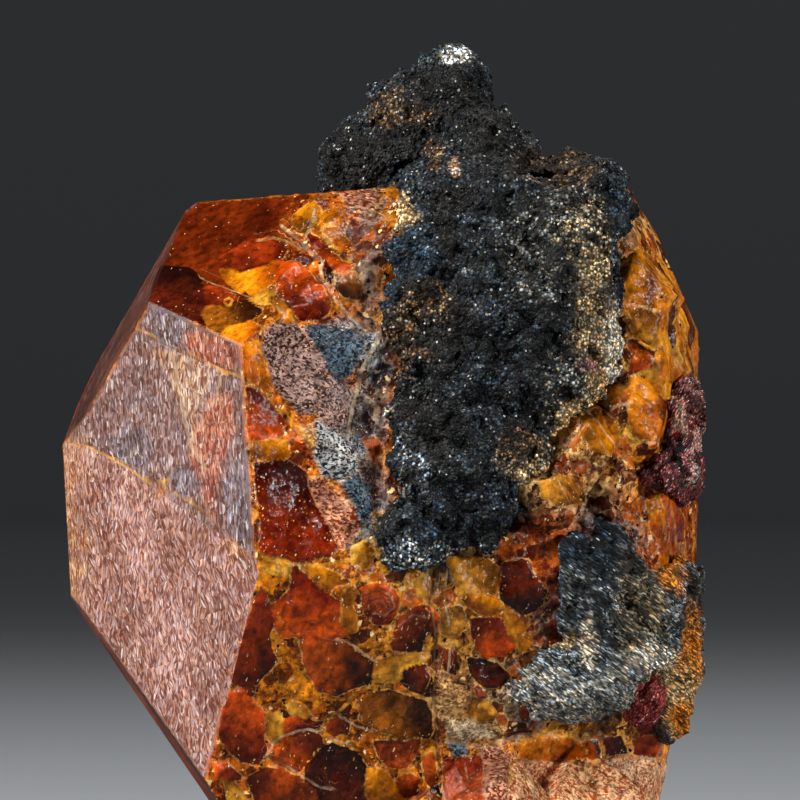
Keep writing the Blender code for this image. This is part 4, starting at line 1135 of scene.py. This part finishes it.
GRAIN_TONES = (linear(186, 74, 70), ((650, 705, 40, 40, linear(190, 76, 74), 0.6),))


# Grains scattered over the rocks

def grain_shape():
    """One small broken grain: a twenty-sided ball with its corners set at uneven distances from the middle."""
    bm = bmesh.new()
    bmesh.ops.create_icosphere(bm, subdivisions=1, radius=0.5)
    for k, v in enumerate(bm.verts):
        v.co *= 0.75 + 0.5 * ((k * 7919) % 13) / 12.0
    return new_piece("grain_shape", bm)


def scatter_tree(grain, material):
    """Grains of mixed size strewn over a surface."""
    tree = bpy.data.node_groups.new("strewn_grains", "GeometryNodeTree")
    for label, kind, default in (
        ("Geometry", "Geometry", None), ("Density", "Float", 8e6), ("Smallest", "Float", 0.0002),
        ("Largest", "Float", 0.0005), ("Seed", "Int", 1),
    ):
        socket = tree.interface.new_socket(label, in_out="INPUT", socket_type="NodeSocket" + kind)
        if default is not None:
            socket.default_value = default
    tree.interface.new_socket("Geometry", in_out="OUTPUT", socket_type="NodeSocketGeometry")
    n = Nodes(tree)
    given = n.add("NodeGroupInput").outputs
    surface = {"Mesh": given["Geometry"], "Density": given["Density"], "Seed": given["Seed"]}
    spread = n.add("GeometryNodeDistributePointsOnFaces", surface)
    chance = n.add("FunctionNodeRandomValue", {2: 0.0, 3: 1.0, "Seed": given["Seed"]}, data_type="FLOAT").outputs[1]
    size = n.times(n.math("POWER", chance, 3.0), n.minus(given["Largest"], given["Smallest"]))
    any_way = {0: (0.0, 0.0, 0.0), 1: (6.283, 6.283, 6.283), "Seed": 3}
    put = n.add("GeometryNodeInstanceOnPoints", {
        "Points": spread.outputs["Points"],
        "Instance": n.add("GeometryNodeObjectInfo", {"Object": grain}).outputs["Geometry"],
        "Rotation": n.add("FunctionNodeRandomValue", any_way, data_type="FLOAT_VECTOR").outputs[0],
        "Scale": n.plus(size, given["Smallest"]),
    })
    real = n.add("GeometryNodeRealizeInstances", {"Geometry": put.outputs[0]})
    joined = n.add("GeometryNodeJoinGeometry")
    n.put(joined.inputs[0], given["Geometry"])
    n.put(joined.inputs[0], real.outputs[0])
    dressed = n.add("GeometryNodeSetMaterial", {"Geometry": joined.outputs[0], "Material": material})
    n.put(n.add("NodeGroupOutput").inputs[0], dressed.outputs[0])
    return tree


def strew(piece, tree, density, smallest, largest, seed):
    modifier = piece.modifiers.new("grains", "NODES")
    modifier.node_group = tree
    values = {"Density": density, "Smallest": smallest * MM, "Largest": largest * MM, "Seed": seed}
    for item in tree.interface.items_tree:
        if item.item_type == "SOCKET" and item.in_out == "INPUT" and item.name in values:
            modifier[item.identifier] = values[item.name]
    mesh = bake_modifiers(piece)
    set_vertices(mesh, keep_in_box(vertices_of(mesh)))


# Stage, light and camera

def stage_bowl():
    """A pale floor that curves up into a far wall all round."""
    profile = [(0.0, 0.0), (0.6, 0.0), (1.4, 0.0), (FLOOR_RADIUS, 0.0)]
    for k in range(1, BEND_STEPS + 1):
        a = math.radians(90 * k / BEND_STEPS)
        profile.append((FLOOR_RADIUS + BEND_RADIUS * math.sin(a), BEND_RADIUS - BEND_RADIUS * math.cos(a)))
    profile.append((FLOOR_RADIUS + BEND_RADIUS, WALL_TOP))
    bm = bmesh.new()
    line = [bm.verts.new((r, 0.0, z)) for r, z in profile]
    edges = [bm.edges.new(pair) for pair in zip(line, line[1:])]
    bmesh.ops.spin(bm, geom=line + edges, axis=(0, 0, 1), cent=(0, 0, 0), steps=64, angle=2 * math.pi)
    bmesh.ops.remove_doubles(bm, verts=bm.verts, dist=1e-5)
    bmesh.ops.recalc_face_normals(bm, faces=bm.faces)
    bmesh.ops.reverse_faces(bm, faces=bm.faces)
    bowl = new_piece("stage_floor", bm)
    bowl.data.shade_smooth()
    material, _, shader = new_material("pale_floor")
    shader.inputs["Base Color"].default_value = (0.2, 0.212, 0.225, 1.0)
    shader.inputs["Roughness"].default_value = 0.9
    bowl.data.materials.append(material)


def lamp(name, place, power, size, colour, aim=(0.0, 0.0, 0.026)):
    data = bpy.data.lights.new(name, "AREA")
    data.shape = "RECTANGLE"
    data.size, data.size_y = size
    data.energy = power
    data.color = colour
    light = new_object(name, data)
    light.location = place
    light.rotation_euler = (Vector(aim) - Vector(place)).to_track_quat("-Z", "Y").to_euler()


def make_camera():
    data = bpy.data.cameras.new("view")
    data.sensor_width = SENSOR_MM
    data.lens = SENSOR_MM * CAMERA_AWAY / (FRAME_SIZE * STEP * MM)
    data.clip_start = 0.05
    data.clip_end = 20.0
    camera = new_object("view", data)
    camera.location = (
        (FRAME_SIZE / 2 - LEFT_END) * STEP * MM + cad_low.x,
        -CAMERA_AWAY - FRONT_FACE,
        (UNDERSIDE - FRAME_SIZE / 2) * STEP * MM,
    )
    camera.rotation_euler = (math.radians(90.0), 0.0, 0.0)
    bpy.context.scene.camera = camera


def set_light():
    world = bpy.data.worlds.new("studio")
    world.use_nodes = True
    sky = world.node_tree.nodes["Background"].inputs
    sky["Color"].default_value = (0.8, 0.85, 0.9, 1.0)
    sky["Strength"].default_value = 0.04
    bpy.context.scene.world = world
    lamp("key_left", (-0.44, -0.12, 0.15), 2.4, (0.26, 0.30), (1.0, 0.97, 0.95))
    lamp("side_left", (-0.36, -0.26, 0.26), 1.5, (0.06, 0.06), (1.0, 0.98, 0.95))
    lamp("front_high", (-0.08, -0.24, 0.44), 2.1, (0.09, 0.09), (1.0, 0.98, 0.95))
    lamp("front_right", (0.47, -0.24, 0.13), 2.0, (0.07, 0.07), (1.0, 0.97, 0.94))
    lamp("wall_wash", (0.0, 1.2, 1.7), 3.0, (0.8, 0.4), (0.96, 0.99, 1.0), (0.0, 3.0, 0.1))
    lamp("rim_back", (0.18, 0.30, 0.40), 0.7, (0.20, 0.20), (0.95, 0.98, 1.0))
    scene = bpy.context.scene
    scene.cycles.max_bounces = 4
    scene.cycles.transmission_bounces = 2
    scene.cycles.diffuse_bounces = 2
    scene.cycles.glossy_bounces = 2
    scene.view_settings.view_transform = "Standard"
    scene.view_settings.look = "None"
    scene.view_settings.exposure = 0.0


stage_bowl()
make_camera()
set_light()

garnet = garnet_piece()
garnet.data.materials.append(garnet_material())
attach(garnet, "root")
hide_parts("garnet_crystal")

grain = grain_group()
# Each rock's glint colour is painted on a few of its grains: painted glints
sulphide = rock_material("sulphide_finish", grain, {
    "Glint": (0.46, 0.45, 0.43), "Grain Scale": 5000.0, "Glint Share": 0.018,
    "Contrast": 3.2, "Dimmest": 0.06, "Brightest": 4.6,
})
silvery = rock_material("silvery_sulphide_finish", grain, {
    "Glint": (0.62, 0.62, 0.6), "Grain Scale": 5200.0, "Glint Share": 0.012,
    "Contrast": 2.4, "Dimmest": 0.07, "Brightest": 3.2,
}, (0.5, 1.0, 2.1), -0.95)
rhodonite = rock_material("rhodonite_finish", grain, {
    "Glint": (0.72, 0.6, 0.56), "Grain Scale": 6400.0, "Glint Share": 0.07,
    "Contrast": 0.8, "Dimmest": 0.25, "Brightest": 2.1,
}, (0.7, 1.0, 1.9), 0.6)

one_grain = grain_shape()
dark_grains = scatter_tree(one_grain, sulphide)
silvery_grains = scatter_tree(one_grain, silvery)
rose_grains = scatter_tree(one_grain, rhodonite)
# Piece, node, voxel size, tones and seed, then material, grains, slot, density and sizes of the grains
ROCKS = (
    ("matrix_upper", "dark_matrix_upper", 0.26, UPPER_TONES, 5,
     sulphide, dark_grains, "dark_matrix", 3.2e6, 0.13, 0.5),
    ("matrix_lower", "dark_matrix_lower", 0.24, LOWER_TONES, 25,
     silvery, silvery_grains, "dark_matrix", 1.7e6, 0.1, 0.26),
    ("matrix_back", "dark_matrix_back", 0.3, BACK_TONES, 45,
     sulphide, dark_grains, "dark_matrix", 2.6e6, 0.2, 0.7),
    ("rhodonite_edge", "rhodonite_seam", 0.2, ROSE_TONES, 65,
     rhodonite, rose_grains, "rhodonite", 1.2e6, 0.1, 0.24),
    ("rhodonite_speck", "rhodonite_grain", 0.16, GRAIN_TONES, 85,
     rhodonite, rose_grains, "rhodonite", 1.4e6, 0.1, 0.26),
)
for name, node, voxel, tones, seed, material, tree, slot, density, smallest, largest in ROCKS:
    rock = rock_piece(name, node, voxel, tones, seed)
    rock.data.materials.append(material)
    strew(rock, tree, density, smallest, largest, seed)
    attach(rock, "root")
    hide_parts(node)
bpy.data.objects.remove(one_grain)
